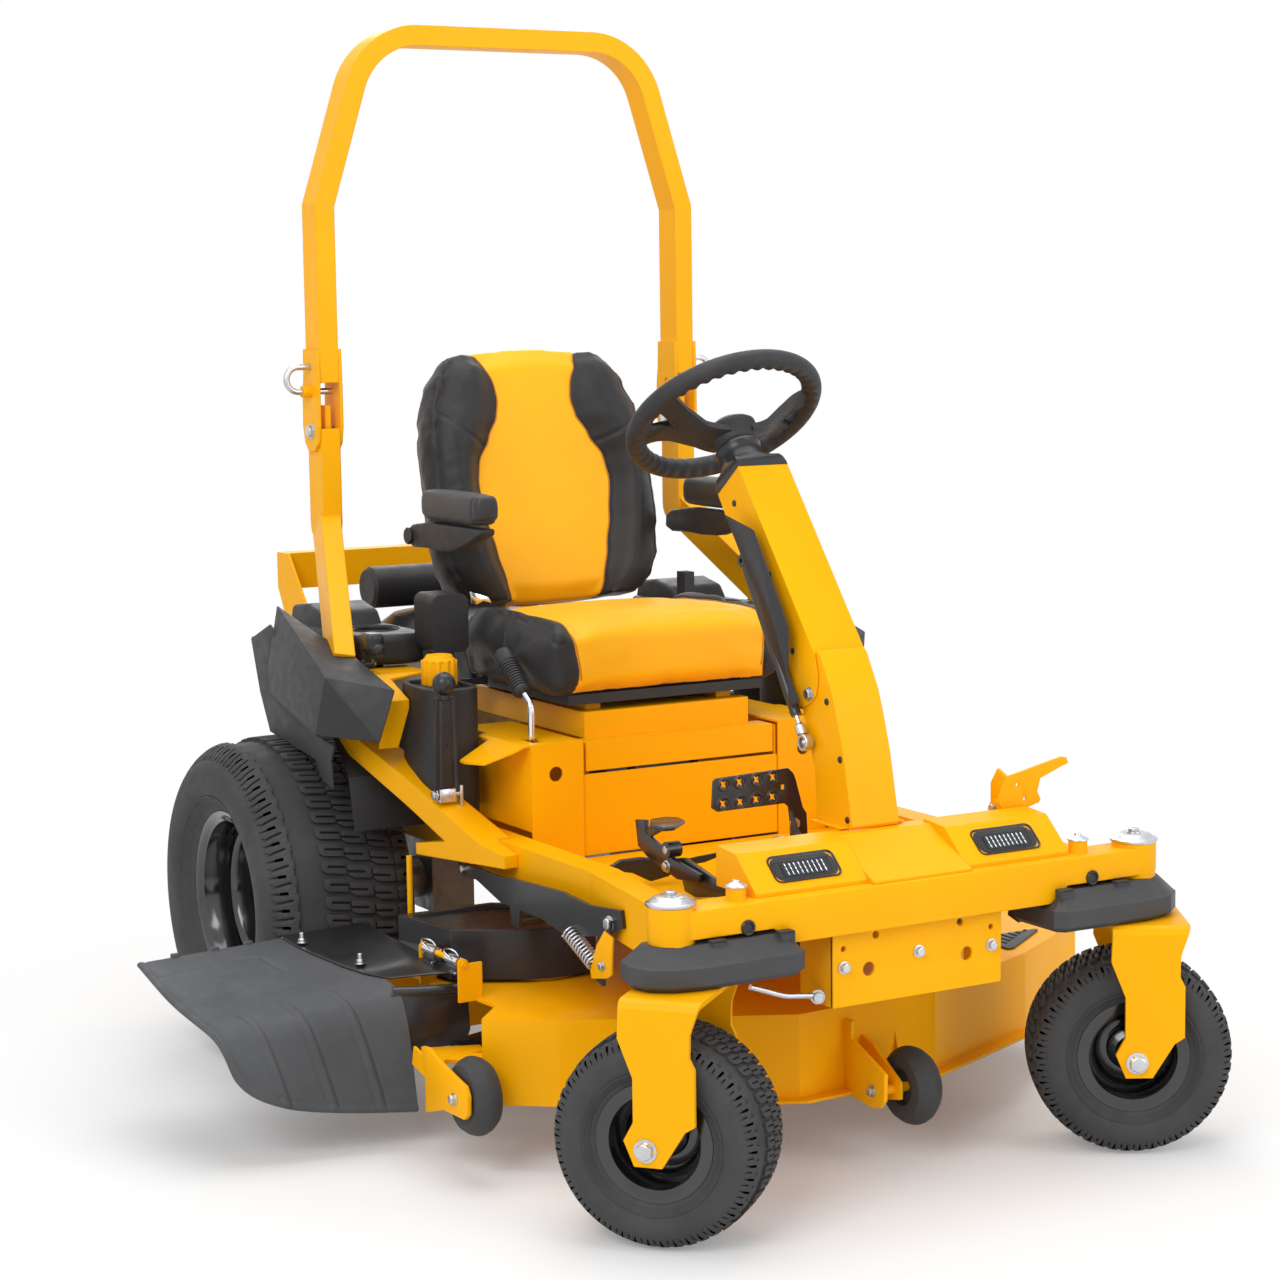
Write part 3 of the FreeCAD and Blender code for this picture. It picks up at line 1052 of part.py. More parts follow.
inner_ring = [(-340, 300), (-640, 284), (-708, 262), (-712, 60), (-706, 60), (-702, 256), (-640, 277),
              (-340, 293)]
outer_ring = [(-340, 286), (-600, 232), (-640, 200), (-648, 66), (-642, 66), (-634, 196), (-598, 225),
              (-340, 279)]
inner_wire = Part.makePolygon([V(-560, a, b) for a, b in inner_ring + [inner_ring[0]]])
outer_wire = Part.makePolygon([V(-920, a, b) for a, b in outer_ring + [outer_ring[0]]])
rubber = Part.makeLoft([inner_wire, outer_wire], True, True)
trim = prism([(-940, 214), (-896, 206), (-862, 146), (-828, 108), (-770, 84), (-548, 52), (-548, 20),
              (-940, 20)], "y", -800, -300)
corner_trim = prism([(-930, -480), (-912, -520), (-880, -660), (-930, -700), (-960, -480)], "z", 0, 400)
rubber = rubber.cut(trim).cut(corner_trim)
rubber = rubber.cut(steel)
rubber = rubber.cut(box(-624.5, -500, -699.7, -330, 280, 340))
rubber = rubber.cut(box(-624.5, -470, -705, -699, 150, 330))
save("chute", max(rubber.Solids, key=lambda solid: solid.Volume))
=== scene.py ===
import bpy, bmesh, math
from mathutils import Matrix, Vector


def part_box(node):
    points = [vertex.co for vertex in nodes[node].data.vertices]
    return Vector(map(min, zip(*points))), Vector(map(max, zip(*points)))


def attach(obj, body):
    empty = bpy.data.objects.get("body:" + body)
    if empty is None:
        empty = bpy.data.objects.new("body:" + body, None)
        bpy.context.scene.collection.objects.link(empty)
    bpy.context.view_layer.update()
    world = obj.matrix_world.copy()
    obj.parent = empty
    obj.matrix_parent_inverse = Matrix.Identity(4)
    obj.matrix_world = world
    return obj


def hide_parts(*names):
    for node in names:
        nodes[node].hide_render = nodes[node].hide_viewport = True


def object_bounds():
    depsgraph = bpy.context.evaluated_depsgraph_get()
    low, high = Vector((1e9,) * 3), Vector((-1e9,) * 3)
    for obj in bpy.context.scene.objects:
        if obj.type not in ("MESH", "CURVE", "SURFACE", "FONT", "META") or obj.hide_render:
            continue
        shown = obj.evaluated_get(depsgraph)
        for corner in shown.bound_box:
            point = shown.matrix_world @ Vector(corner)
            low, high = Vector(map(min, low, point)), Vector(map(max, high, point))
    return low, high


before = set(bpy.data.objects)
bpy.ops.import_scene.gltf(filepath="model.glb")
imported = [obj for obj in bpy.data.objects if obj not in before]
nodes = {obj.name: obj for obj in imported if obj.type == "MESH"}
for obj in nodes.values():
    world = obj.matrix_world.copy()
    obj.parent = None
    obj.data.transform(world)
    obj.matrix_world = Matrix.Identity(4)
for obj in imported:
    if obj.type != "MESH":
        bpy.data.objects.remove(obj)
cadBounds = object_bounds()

scene = bpy.context.scene
axleShift = Vector((0.115, 0.4332, 0.0))  # from the middle of the rear axle on the ground to the frame's zero


def at(x, y, z):  # millimetres from the rear axle to metres in the frame
    return Vector((x, y, z)) / 1000 + axleShift


def tone(red, green, blue):  # a paint-card colour, 0 to 255, as the shader wants it
    parts = [c / 255 for c in (red, green, blue)]
    return tuple(c / 12.92 if c <= 0.04045 else ((c + 0.055) / 1.055) ** 2.4 for c in parts) + (1.0,)


# modelling helpers
def letGo():
    if bpy.context.object and bpy.context.object.mode != "OBJECT":
        bpy.ops.object.mode_set(mode="OBJECT")
    bpy.ops.object.select_all(action="DESELECT")


def takeOnly(piece):
    letGo()
    piece.select_set(True)
    bpy.context.view_layer.objects.active = piece


def named(name):
    piece = bpy.context.object
    piece.name = name
    piece.data.name = name
    return piece


def openUp(piece, mode="FACE"):
    takeOnly(piece)
    bpy.ops.object.mode_set(mode="EDIT")
    bpy.ops.mesh.select_mode(type=mode)
    bpy.ops.mesh.select_all(action="DESELECT")


def pullAll(piece, reach):  # draws every face out together and stays in edit mode
    openUp(piece)
    bpy.ops.mesh.select_all(action="SELECT")
    bpy.ops.mesh.extrude_region_move(TRANSFORM_OT_translate={"value": reach})


def pickFaces(piece, test):
    mesh = bmesh.from_edit_mesh(piece.data)
    for face in mesh.faces:
        face.select_set(bool(test(face.calc_center_median(), face.normal)))
    bmesh.update_edit_mesh(piece.data)


def shut(piece, doubles=0.0, outward=False):
    bpy.ops.mesh.select_all(action="SELECT")
    if doubles:
        bpy.ops.mesh.remove_doubles(threshold=doubles)
    if outward:
        bpy.ops.mesh.normals_make_consistent(inside=False)
    bpy.ops.object.mode_set(mode="OBJECT")
    return piece


def modify(piece, kind, **settings):
    takeOnly(piece)
    modifier = piece.modifiers.new(kind.title(), kind)
    for key, value in settings.items():
        setattr(modifier, key, value)
    bpy.ops.object.modifier_apply(modifier=modifier.name)
    return piece


def softEdges(piece, width, segments=2, angle=35):
    return modify(piece, "BEVEL", width=width / 1000, segments=segments, limit_method="ANGLE",
                  angle_limit=math.radians(angle), use_clamp_overlap=True, harden_normals=False)


def smooth(piece, angle=35):
    takeOnly(piece)
    bpy.ops.object.shade_smooth_by_angle(angle=math.radians(angle))
    return piece


def settle(piece):  # its place goes into the mesh
    takeOnly(piece)
    bpy.ops.object.transform_apply(location=True, rotation=True, scale=True)
    return piece


def ring(name, points):  # a circle primitive whose corners are pulled to the outline's points
    letGo()
    bpy.ops.mesh.primitive_circle_add(vertices=len(points), radius=0.01, fill_type="NGON")
    piece = named(name)
    for vertex, point in zip(piece.data.vertices, points):
        vertex.co = point
    return piece


def plate(name, points, axis, low, high, edge=0.0, segments=2, angle=35):
    # a flat outline in millimetres, given in the two other axes, pulled out along one axis
    place = {"x": lambda a, b: at(low, a, b),
             "y": lambda a, b: at(a, low, b),
             "z": lambda a, b: at(a, b, low)}[axis]
    pull = {"x": (1, 0, 0), "y": (0, 1, 0), "z": (0, 0, 1)}[axis]
    piece = ring(name, [place(a, b) for a, b in points])
    pullAll(piece, Vector(pull) * (high - low) / 1000)
    shut(piece, outward=True)
    if edge:
        softEdges(piece, edge, segments, angle)
    return smooth(piece)


def block(name, low, high, edge=0.0, segments=2):
    letGo()
    low, high = at(*low), at(*high)
    bpy.ops.mesh.primitive_cube_add(size=1, location=(low + high) / 2)
    piece = named(name)
    piece.scale = [high[i] - low[i] for i in range(3)]
    settle(piece)
    if edge:
        softEdges(piece, edge, segments)
    return smooth(piece)


def turnTo(piece, centre, direction):  # from an axis along z to the wanted one
    piece.rotation_euler = Vector(direction).to_track_quat("Z", "Y").to_euler()
    piece.location = centre
    return settle(piece)


def lathe(name, profile, centre, direction, steps=64, angle=30):
    # (distance along the axis, radius) points in millimetres, spun about the axis
    piece = ring(name, [Vector((r / 1000, 0, a / 1000)) for a, r in profile])
    openUp(piece)
    bpy.ops.mesh.select_all(action="SELECT")
    bpy.ops.mesh.delete(type="ONLY_FACE")
    bpy.ops.mesh.select_all(action="SELECT")
    bpy.ops.mesh.spin(steps=steps, angle=math.tau, center=(0, 0, 0), axis=(0, 0, 1))
    shut(piece, 0.00002, True)
    turnTo(piece, at(*centre), direction)
    return smooth(piece, angle)


def rodPiece(name, start, end, radius, edge=0.6, sides=24):
    letGo()
    start, end = at(*start), at(*end)
    bpy.ops.mesh.primitive_cylinder_add(vertices=sides, radius=radius / 1000, depth=(end - start).length)
    piece = named(name)
    turnTo(piece, (start + end) / 2, end - start)
    if edge:
        softEdges(piece, edge, 2, 50)
    return smooth(piece)


def bendTube(name, points, radius, sides=5, closed=False, order=3):
    # a round bar or cable along a smooth line through the given corners
    letGo()
    bpy.ops.curve.primitive_nurbs_path_add()
    path = named(name)
    path.data.splines.clear()
    line = path.data.splines.new("NURBS")
    line.points.add(len(points) - 1)
    for target, point in zip(line.points, points):
        target.co = (*at(*point), 1.0)
    line.order_u = order
    line.use_endpoint_u = not closed
    line.use_cyclic_u = closed
    path.data.resolution_u = 8
    path.data.bevel_depth = radius / 1000
    path.data.bevel_resolution = sides
    path.data.use_fill_caps = True
    path.location = (0, 0, 0)
    bpy.ops.object.convert(target="MESH")
    piece = named(name)
    openUp(piece)
    shut(piece, 0.00001, True)
    return smooth(piece, 50)


def bolt(name, point, direction, radius, head=6.0, washer=True):
    # a hexagon head with a domed top, on its washer
    letGo()
    direction = Vector(direction).normalized()
    bpy.ops.mesh.primitive_cylinder_add(vertices=6, radius=radius / 1000, depth=head / 1000)
    piece = named(name)
    openUp(piece)
    pickFaces(piece, lambda c, n: n.z > 0.9)
    bpy.ops.mesh.inset(thickness=radius * 0.00014, depth=radius * 0.00010)
    shut(piece)
    turnTo(piece, at(*point) + direction * (head / 2000 + (0.0016 if washer else 0)), direction)
    softEdges(piece, 0.5, 2)
    if washer:
        bpy.ops.mesh.primitive_cylinder_add(vertices=32, radius=radius * 0.00128, depth=0.0018)
        disc = named(name + "Washer")
        turnTo(disc, at(*point) + direction * 0.0009, direction)
        softEdges(disc, 0.4, 2, 50)
        piece = joined(name, [piece, disc])
    return smooth(piece)


def joined(name, pieces):
    letGo()
    for piece in pieces:
        piece.select_set(True)
    bpy.context.view_layer.objects.active = pieces[0]
    if len(pieces) > 1:
        bpy.ops.object.join()
    return named(name)


def copied(piece, name, matrix):
    twin = piece.copy()
    twin.data = piece.data.copy()
    twin.name = twin.data.name = name
    scene.collection.objects.link(twin)
    twin.data.transform(matrix)
    if matrix.determinant() < 0:
        twin.data.flip_normals()
    return twin


midPlane = Matrix.Translation((axleShift.x, 0, 0))
otherSide = midPlane @ Matrix.Scale(-1, 4, (1, 0, 0)) @ midPlane.inverted()  # swaps left and right


def mirroredOver(piece, name):
    return copied(piece, name, otherSide)


def cutBy(piece, tool):
    modify(piece, "BOOLEAN", operation="DIFFERENCE", solver="EXACT", object=tool)
    bpy.data.objects.remove(tool)
    return piece


def finished(piece, body, material, slot, *replacing):
    piece.data.materials.clear()
    for one in material if isinstance(material, list) else [material]:
        piece.data.materials.append(one)
    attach(piece, body)
    if replacing:
        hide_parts(*replacing)
    return piece


# finishes
def newFinish(name, base, roughness, metallic=0.0, coat=0.0, specular=0.5):
    material = bpy.data.materials.new(name)
    material.use_nodes = True
    shader = material.node_tree.nodes["Principled BSDF"]
    shader.inputs["Base Color"].default_value = base
    shader.inputs["Roughness"].default_value = roughness
    shader.inputs["Metallic"].default_value = metallic
    shader.inputs["Coat Weight"].default_value = coat
    shader.inputs["Coat Roughness"].default_value = 0.12
    shader.inputs["Specular IOR Level"].default_value = specular
    return material, material.node_tree, shader


def noiseOn(tree, place, scale, detail=3.0, stretch=None):
    if stretch:
        mapping = tree.nodes.new("ShaderNodeMapping")
        mapping.inputs["Scale"].default_value = stretch
        tree.links.new(place, mapping.inputs["Vector"])
        place = mapping.outputs["Vector"]
    noise = tree.nodes.new("ShaderNodeTexNoise")
    noise.inputs["Scale"].default_value = scale
    noise.inputs["Detail"].default_value = detail
    tree.links.new(place, noise.inputs["Vector"])
    return noise.outputs["Fac"]


def rampOn(tree, value, low, high, lowColour, highColour):
    ramp = tree.nodes.new("ShaderNodeValToRGB")
    ramp.color_ramp.elements[0].position = low
    ramp.color_ramp.elements[1].position = high
    ramp.color_ramp.elements[0].color = lowColour
    ramp.color_ramp.elements[1].color = highColour
    tree.links.new(value, ramp.inputs["Fac"])
    return ramp.outputs["Color"]


def rangeOn(tree, value, low, high, newLow, newHigh):
    spread = tree.nodes.new("ShaderNodeMapRange")
    for key, number in (("From Min", low), ("From Max", high), ("To Min", newLow), ("To Max", newHigh)):
        spread.inputs[key].default_value = number
    tree.links.new(value, spread.inputs["Value"])
    return spread.outputs["Result"]


def bumpOn(tree, height, strength, distance, normal=None):
    bump = tree.nodes.new("ShaderNodeBump")
    bump.inputs["Strength"].default_value = strength
    bump.inputs["Distance"].default_value = distance
    tree.links.new(height, bump.inputs["Height"])
    if normal:
        tree.links.new(normal, bump.inputs["Normal"])
    return bump.outputs["Normal"]


def shaded(colour, amount):
    return tuple(min(1.0, c * amount) for c in colour[:3]) + (1.0,)


def paintFinish(name, colour, roughness, coat, rounding, edgeHighlight, peel=0.04, specular=0.5):
    # sprayed paint or powder coat: slow colour drift, orange peel, and rounded edges painted lighter as a
    # painted highlight
    material, tree, shader = newFinish(name, colour, roughness, coat=coat, specular=specular)
    place = tree.nodes.new("ShaderNodeTexCoord").outputs["Object"]
    drift = noiseOn(tree, place, 3.5, 4.0)
    body = rampOn(tree, drift, 0.3, 0.7, shaded(colour, 0.95), shaded(colour, 1.03))
    rounded = tree.nodes.new("ShaderNodeBevel")
    rounded.samples = 4
    rounded.inputs["Radius"].default_value = rounding / 1000
    geometry = tree.nodes.new("ShaderNodeNewGeometry")
    facing = tree.nodes.new("ShaderNodeVectorMath")
    facing.operation = "DOT_PRODUCT"
    tree.links.new(rounded.outputs["Normal"], facing.inputs[0])
    tree.links.new(geometry.outputs["Normal"], facing.inputs[1])
    # painted highlight: near the rounded edges the colour is mixed towards a lighter tone, as if the edges
    # caught the light
    edge = rangeOn(tree, facing.outputs["Value"], 0.985, 0.80, 0.0, edgeHighlight)
    mix = tree.nodes.new("ShaderNodeMix")
    mix.data_type = "RGBA"
    tree.links.new(edge, mix.inputs["Factor"])
    tree.links.new(body, mix.inputs["A"])
    mix.inputs["B"].default_value = shaded(tuple(c * 0.9 + 0.1 for c in colour), 1.12)
    tree.links.new(mix.outputs["Result"], shader.inputs["Base Color"])
    gloss = rangeOn(tree, noiseOn(tree, place, 24.0, 3.0), 0.3, 0.7, roughness * 0.85, roughness * 1.2)
    tree.links.new(gloss, shader.inputs["Roughness"])
    peeled = bumpOn(tree, noiseOn(tree, place, 420.0, 2.0), peel, 0.0006, rounded.outputs["Normal"])
    tree.links.new(peeled, shader.inputs["Normal"])
    return material


def mouldedFinish(name, colour, roughness, grain, depth, rounding=0.0, patch=0.08, specular=0.4):
    # moulded plastic or rubber: fine stipple and faint flow marks
    material, tree, shader = newFinish(name, colour, roughness, specular=specular)
    place = tree.nodes.new("ShaderNodeTexCoord").outputs["Object"]
    flow = noiseOn(tree, place, 9.0, 5.0)
    body = rampOn(tree, flow, 0.3, 0.72, shaded(colour, 1.0 - patch), shaded(colour, 1.0 + patch * 1.6))
    tree.links.new(body, shader.inputs["Base Color"])
    gloss = rangeOn(tree, noiseOn(tree, place, 40.0, 4.0), 0.3, 0.7, roughness * 0.88,
                    min(1.0, roughness * 1.15))
    tree.links.new(gloss, shader.inputs["Roughness"])
    normal = None
    if rounding:
        rounded = tree.nodes.new("ShaderNodeBevel")
        rounded.samples = 4
        rounded.inputs["Radius"].default_value = rounding / 1000
        normal = rounded.outputs["Normal"]
    stipple = bumpOn(tree, noiseOn(tree, place, grain, 3.0), depth, 0.0008, normal)
    tree.links.new(stipple, shader.inputs["Normal"])
    return material


def vinylFinish(name, colour, roughness):
    # coated seat vinyl: pebble grain, finer pores, a little sheen drift
    material, tree, shader = newFinish(name, colour, roughness, specular=0.45)
    shader.inputs["Sheen Weight"].default_value = 0.06
    place = tree.nodes.new("ShaderNodeTexCoord").outputs["Object"]
    body = rampOn(tree, noiseOn(tree, place, 7.0, 5.0), 0.3, 0.7, shaded(colour, 0.93), shaded(colour, 1.06))
    tree.links.new(body, shader.inputs["Base Color"])
    pebble = tree.nodes.new("ShaderNodeTexVoronoi")
    pebble.inputs["Scale"].default_value = 520.0
    tree.links.new(place, pebble.inputs["Vector"])
    fine = bumpOn(tree, noiseOn(tree, place, 1400.0, 2.0), 0.12, 0.0004)
    tree.links.new(bumpOn(tree, pebble.outputs["Distance"], 0.28, 0.0007, fine), shader.inputs["Normal"])
    gloss = rangeOn(tree, pebble.outputs["Distance"], 0.0, 0.7, roughness * 0.9, roughness * 1.2)
    tree.links.new(gloss, shader.inputs["Roughness"])
    return material


def metalFinish(name, colour, roughness, stretch, scale, depth):
    # plated or drawn metal: cloudy gloss and fine lines along one direction
    material, tree, shader = newFinish(name, colour, roughness, metallic=1.0)
    place = tree.nodes.new("ShaderNodeTexCoord").outputs["Object"]
    cloud = rampOn(tree, noiseOn(tree, place, 26.0, 4.0), 0.3, 0.7, shaded(colour, 0.86),
                   shaded(colour, 1.06))
    tree.links.new(cloud, shader.inputs["Base Color"])
    gloss = rangeOn(tree, noiseOn(tree, place, 60.0, 4.0), 0.3, 0.7, roughness * 0.7, roughness * 1.4)
    tree.links.new(gloss, shader.inputs["Roughness"])
    lines = noiseOn(tree, place, scale, 2.0, stretch)
    tree.links.new(bumpOn(tree, lines, depth, 0.0003), shader.inputs["Normal"])
    return material


finishColours = {
    "yellow": tone(251, 177, 0), "blackSteel": tone(30, 30, 32), "softBlack": tone(39, 39, 41),
    "chuteGrey": tone(74, 76, 79),
    "tyre": tone(63, 63, 64), "vinylBlack": tone(37, 37, 38), "vinylYellow": tone(250, 180, 0),
    "rimBlack": tone(20, 20, 22),
    "zinc": tone(205, 208, 212), "chrome": tone(225, 227, 230), "castAlloy": tone(150, 152, 155),
    "bronze": tone(190, 120, 20),
}
# the fifth number of each paint sets how strongly its edges are painted lighter as a painted highlight
yellowPaint = paintFinish("yellowPaint", finishColours["yellow"], 0.42, 0.02, 2.0, 0.10, specular=0.12)
yellowTube = paintFinish("yellowTubePaint", finishColours["yellow"], 0.40, 0.03, 4.0, 0.08, specular=0.14)
blackPaint = paintFinish("blackPowderCoat", finishColours["blackSteel"], 0.33, 0.25, 1.6, 0.5, 0.08)
rimPaint = paintFinish("rimBlackGloss", finishColours["rimBlack"], 0.16, 0.8, 1.0, 0.2, 0.02)
softPlastic = mouldedFinish("mouldedBlack", finishColours["softBlack"], 0.52, 900.0, 0.25, 1.2)
smoothPlastic = mouldedFinish("smoothBlack", tone(40, 40, 43), 0.30, 1500.0, 0.05, 1.0, 0.05)
guardPlastic = mouldedFinish("guardGrey", tone(60, 61, 63), 0.5, 700.0, 0.3, 1.5)
chuteRubber = mouldedFinish("chuteRubber", finishColours["chuteGrey"], 0.62, 520.0, 0.5, 1.0, 0.12)
tyreRubber = mouldedFinish("tyreRubber", finishColours["tyre"], 0.74, 600.0, 0.4, 0.0, 0.14, 0.3)
gripRubber = mouldedFinish("gripRubber", tone(42, 42, 44), 0.55, 1100.0, 0.3, 0.8)
blackVinyl = vinylFinish("seatVinylBlack", finishColours["vinylBlack"], 0.42)
pipingVinyl = vinylFinish("seatPiping", finishColours["bronze"], 0.5)
zinc = metalFinish("zincPlate", finishColours["zinc"], 0.30, (1, 1, 6), 300.0, 0.15)
chrome = metalFinish("chromePlate", finishColours["chrome"], 0.12, (1, 1, 3), 200.0, 0.03)
castAlloy = metalFinish("castAlloy", finishColours["castAlloy"], 0.48, (1, 1, 1), 700.0, 0.6)
bareSteel = metalFinish("bareSteel", tone(150, 150, 152), 0.38, (8, 1, 1), 260.0, 0.2)
print("finishes ready")

# the frame's own nodes
finishGroups = (
    (yellowPaint, "frame_rails front_beam front_covers floor_pan seat_box side_boxes seat_base "
                  "right_caster_fork left_caster_fork steering_console column_arm deck_shell "
                  "lift_pedal"),
    (yellowTube, "rops_posts rops_hoop"),
    (blackPaint, "lift_arms belt_covers chute_plate forward_pedal reverse_pedal right_blade "
                 "centre_blade left_blade"),
    (softPlastic, "parking_lever throttle_lever seat_pan fuel_tanks fender_covers side_consoles "
                  "battery air_filter"),
    (chrome, "height_lever strut_rod"),
    (castAlloy, "engine_block transaxles"),
    (smoothPlastic, "engine_shroud strut_cylinder right_gauge_wheel middle_gauge_wheel headlamps"),
    (bareSteel, "clutch_pulley"),
    (zinc, "frame_pins right_lock_pin left_lock_pin"),
    (gripRubber, "column_boot"),
    (guardPlastic, "beam_guards"),
    (chuteRubber, "chute"),
    (rimPaint, "right_rear_wheel left_rear_wheel right_front_wheel left_front_wheel"),
)
nodeFinish = {name: finish for finish, names in finishGroups for name in names.split()}
for name, node in nodes.items():
    finish = nodeFinish.get(name, softPlastic)
    if "tyre" in name:
        finish = tyreRubber
    node.data.materials.clear()
    node.data.materials.append(finish)
print("frame nodes finished")

# tyres
def smoothCurve(points, count):  # even steps along a round line through (across, radius) points
    spans = [math.dist(points[i], points[i + 1]) for i in range(len(points) - 1)]
    total = sum(spans)
    result = []
    for step in range(count + 1):
        goal = total * step / count
        i = 0
        while i < len(spans) - 1 and goal > spans[i]:
            goal -= spans[i]
            i += 1
        t = min(1.0, goal / spans[i])
        before, start, end, after = (points[max(0, i - 1)], points[i], points[i + 1],
                                     points[min(len(points) - 1, i + 2)])
        result.append(tuple(0.5 * (2 * start[k] + (end[k] - before[k]) * t
                                   + (2 * before[k] - 5 * start[k] + 4 * end[k] - after[k]) * t * t
                                   + (3 * start[k] - before[k] - 3 * end[k] + after[k]) * t ** 3)
                                   for k in (0, 1)))
    return result


tyreTable = {
    "rear": {"crown": [(0, 298), (45, 297.2), (90, 293.5), (113, 286), (129, 275), (141, 261), (147.5, 245),
                       (149.5, 225), (146, 203), (135, 185), (122, 173), (112, 166)],
             "bead": [(112, 152), (104, 152)], "groove": 7.5, "blocks": 58, "size": 1.0, "shoulder": 92,
             "sunk": 260},
    "front": {"crown": [(0, 165), (25, 164.6), (49, 162.4), (62, 158), (70, 152), (76, 144), (80, 134),
                        (81, 124), (79, 112), (74, 102), (67, 96), (61, 92.5)],
              "bead": [(61, 76), (56, 76)], "groove": 5.0, "blocks": 46, "size": 0.66, "shoulder": 50,
              "sunk": 143},
}
blockOutline = [(0, 2.5), (3, 0), (36, 3.5), (45, 9.5), (45, 13), (13, 9.2), (10, 10.8), (12, 13.2),
                (45, 17.6), (46, 25), (43, 27), (8, 22.5), (1, 17)]
shoulderOutline = [(0, 3), (4, 0), (30, 2), (62, 1), (78, 3), (78, 10), (50, 9.5), (16, 9.8), (16, 13.5),
                   (50, 13.4), (78, 14), (78, 21), (60, 22.5), (30, 24), (5, 22), (0, 18)]


def treadBlock(name, points, height, flip, edge):
    points = [(a, 27 - b) for a, b in points] if flip else points
    block = ring(name, [Vector((a, b, 0)) for a, b in points])
    pullAll(block, (0, 0, height))
    shut(block, outward=True)
    openUp(block)
    for cut in (15.0, 30.0, 45.0, 60.0):
        bpy.ops.mesh.select_all(action="SELECT")
        bpy.ops.mesh.bisect(plane_co=(cut + 0.1, 0, 0), plane_no=(1, 0, 0))
    pickFaces(block, lambda c, n: n.z > 0.9)
    bpy.ops.mesh.inset(thickness=edge, depth=edge * 0.7)
    shut(block)
    openUp(block)
    pickFaces(block, lambda c, n: n.z < -0.9)
    bpy.ops.mesh.delete(type="FACE")
    bpy.ops.object.mode_set(mode="OBJECT")
    return block


def makeTyre(name, kind, centre, swivel):
    values = tyreTable[kind]
    half = smoothCurve(values["crown"], 26)
    lengths = [0.0]
    for i in range(1, len(half)):
        lengths.append(lengths[-1] + math.dist(half[i], half[i - 1]))
    groove = values["groove"]

    def onCrown(along, lift):  # place and radius at a distance from the middle, measured over the tread
        side = -1 if along < 0 else 1
        along = min(abs(along), lengths[-1] - 0.01)
        i = max(k for k in range(len(lengths) - 1) if lengths[k] <= along)
        t = (along - lengths[i]) / (lengths[i + 1] - lengths[i])
        a = half[i][0] + (half[i + 1][0] - half[i][0]) * t
        r = half[i][1] + (half[i + 1][1] - half[i][1]) * t
        run = Vector((half[i + 1][0] - half[i][0], half[i + 1][1] - half[i][1])).normalized()
        return side * (a - run.y * lift), r + run.x * lift

    # carcass: the tread floor, the side walls with their rings, and the bead
    size = values["size"]
    outer = []
    for k, (a, r) in enumerate(half):
        depth = groove * min(1.0, max(0.0, (r - values["sunk"]) / (14 * size)))
        outer.append(onCrown(lengths[k], -depth))
    wallRing = len(outer) - 5
    a, r = outer[wallRing]
    outer[wallRing:wallRing + 1] = [(a, r + 4 * size), (a + 1.6 * size, r + 3 * size), (a + 1.6 * size, r),
                                    (a - 0.4, r - 1)]
    profile = outer + values["bead"]
    profile = [(-a, r) for a, r in profile[::-1]] + profile[1:]
    inside = [(a * 0.93, r - 10 * size) for a, r in outer[2::4] if r > values["bead"][0][1] + 30 * size]
    profile += [(a, r) for a, r in inside[::-1]] + [(-a, r) for a, r in inside]
    carcass = lathe(name, profile, (0, 0, 0), (0, 0, 1), 84, 40)
    carcass.data.transform(Matrix.Translation(-axleShift))

    rows = []  # distance of the row from the middle, outline, flipped, start angle as part of a pitch
    pitch = math.tau / values["blocks"]
    rowWide = 48.5
    for i, row in enumerate((-2, -1, 0, 1)):
        rows.append((row * rowWide + 1.3, blockOutline, row >= 0, 0.37 * i, row >= 0))
    rows.append((values["shoulder"] / size + 7.0, shoulderOutline, True, 0.15, True))
    rows.append((-(values["shoulder"] / size + 7.0), shoulderOutline, False, 0.55, None))
    blocks = []
    for i, (start, points, flip, offset, turnRow) in enumerate(rows):
        block = treadBlock(name + "Block%d" % i, points, groove / size * 0.98 + 1.2, flip, 1.1)
        for vertex in block.data.vertices:
            across = vertex.co.x * size
            if start < -values["shoulder"] / size:
                across = start * size - across
            elif turnRow is True and abs(start) < rowWide * 1.5:
                across = (start + rowWide - 2.6) * size - across
            else:
                across = start * size + across
            lift = (vertex.co.z - groove / size - 1.2) * size
            fade = max(0.0, abs(across) - values["shoulder"] - 16 * size) / (66 * size)
            lift = min(0.3, lift) if fade <= 0 else lift - fade * (groove - 2.5) * 0.55
            a, r = onCrown(across, lift)
            angle = pitch * offset + (vertex.co.y - 13.5) / 31.0 * pitch
            vertex.co = Vector((r * math.cos(angle), r * math.sin(angle), a)) / 1000
        openUp(block)
        bpy.ops.mesh.select_all(action="SELECT")
        bpy.ops.mesh.normals_make_consistent(inside=False)
        mesh = bmesh.from_edit_mesh(block.data)
        top = max(mesh.faces, key=lambda face: face.calc_center_median().xy.length)
        if top.normal.dot(Vector((*top.calc_center_median().xy, 0)).normalized()) < 0:
            bpy.ops.mesh.flip_normals()
        bpy.ops.mesh.spin(dupli=True, steps=values["blocks"] - 1, angle=math.tau - pitch, center=(0, 0, 0),
                          axis=(0, 0, 1))
        bpy.ops.object.mode_set(mode="OBJECT")
        blocks.append(smooth(block, 40))
    tyre = joined(name, [carcass] + blocks)
    turn = Matrix.Rotation(math.radians(swivel), 4, "Z") @ Matrix.Rotation(math.radians(90), 4, "Y")
    tyre.data.transform(Matrix.Translation(at(*centre)) @ turn)
    return tyre


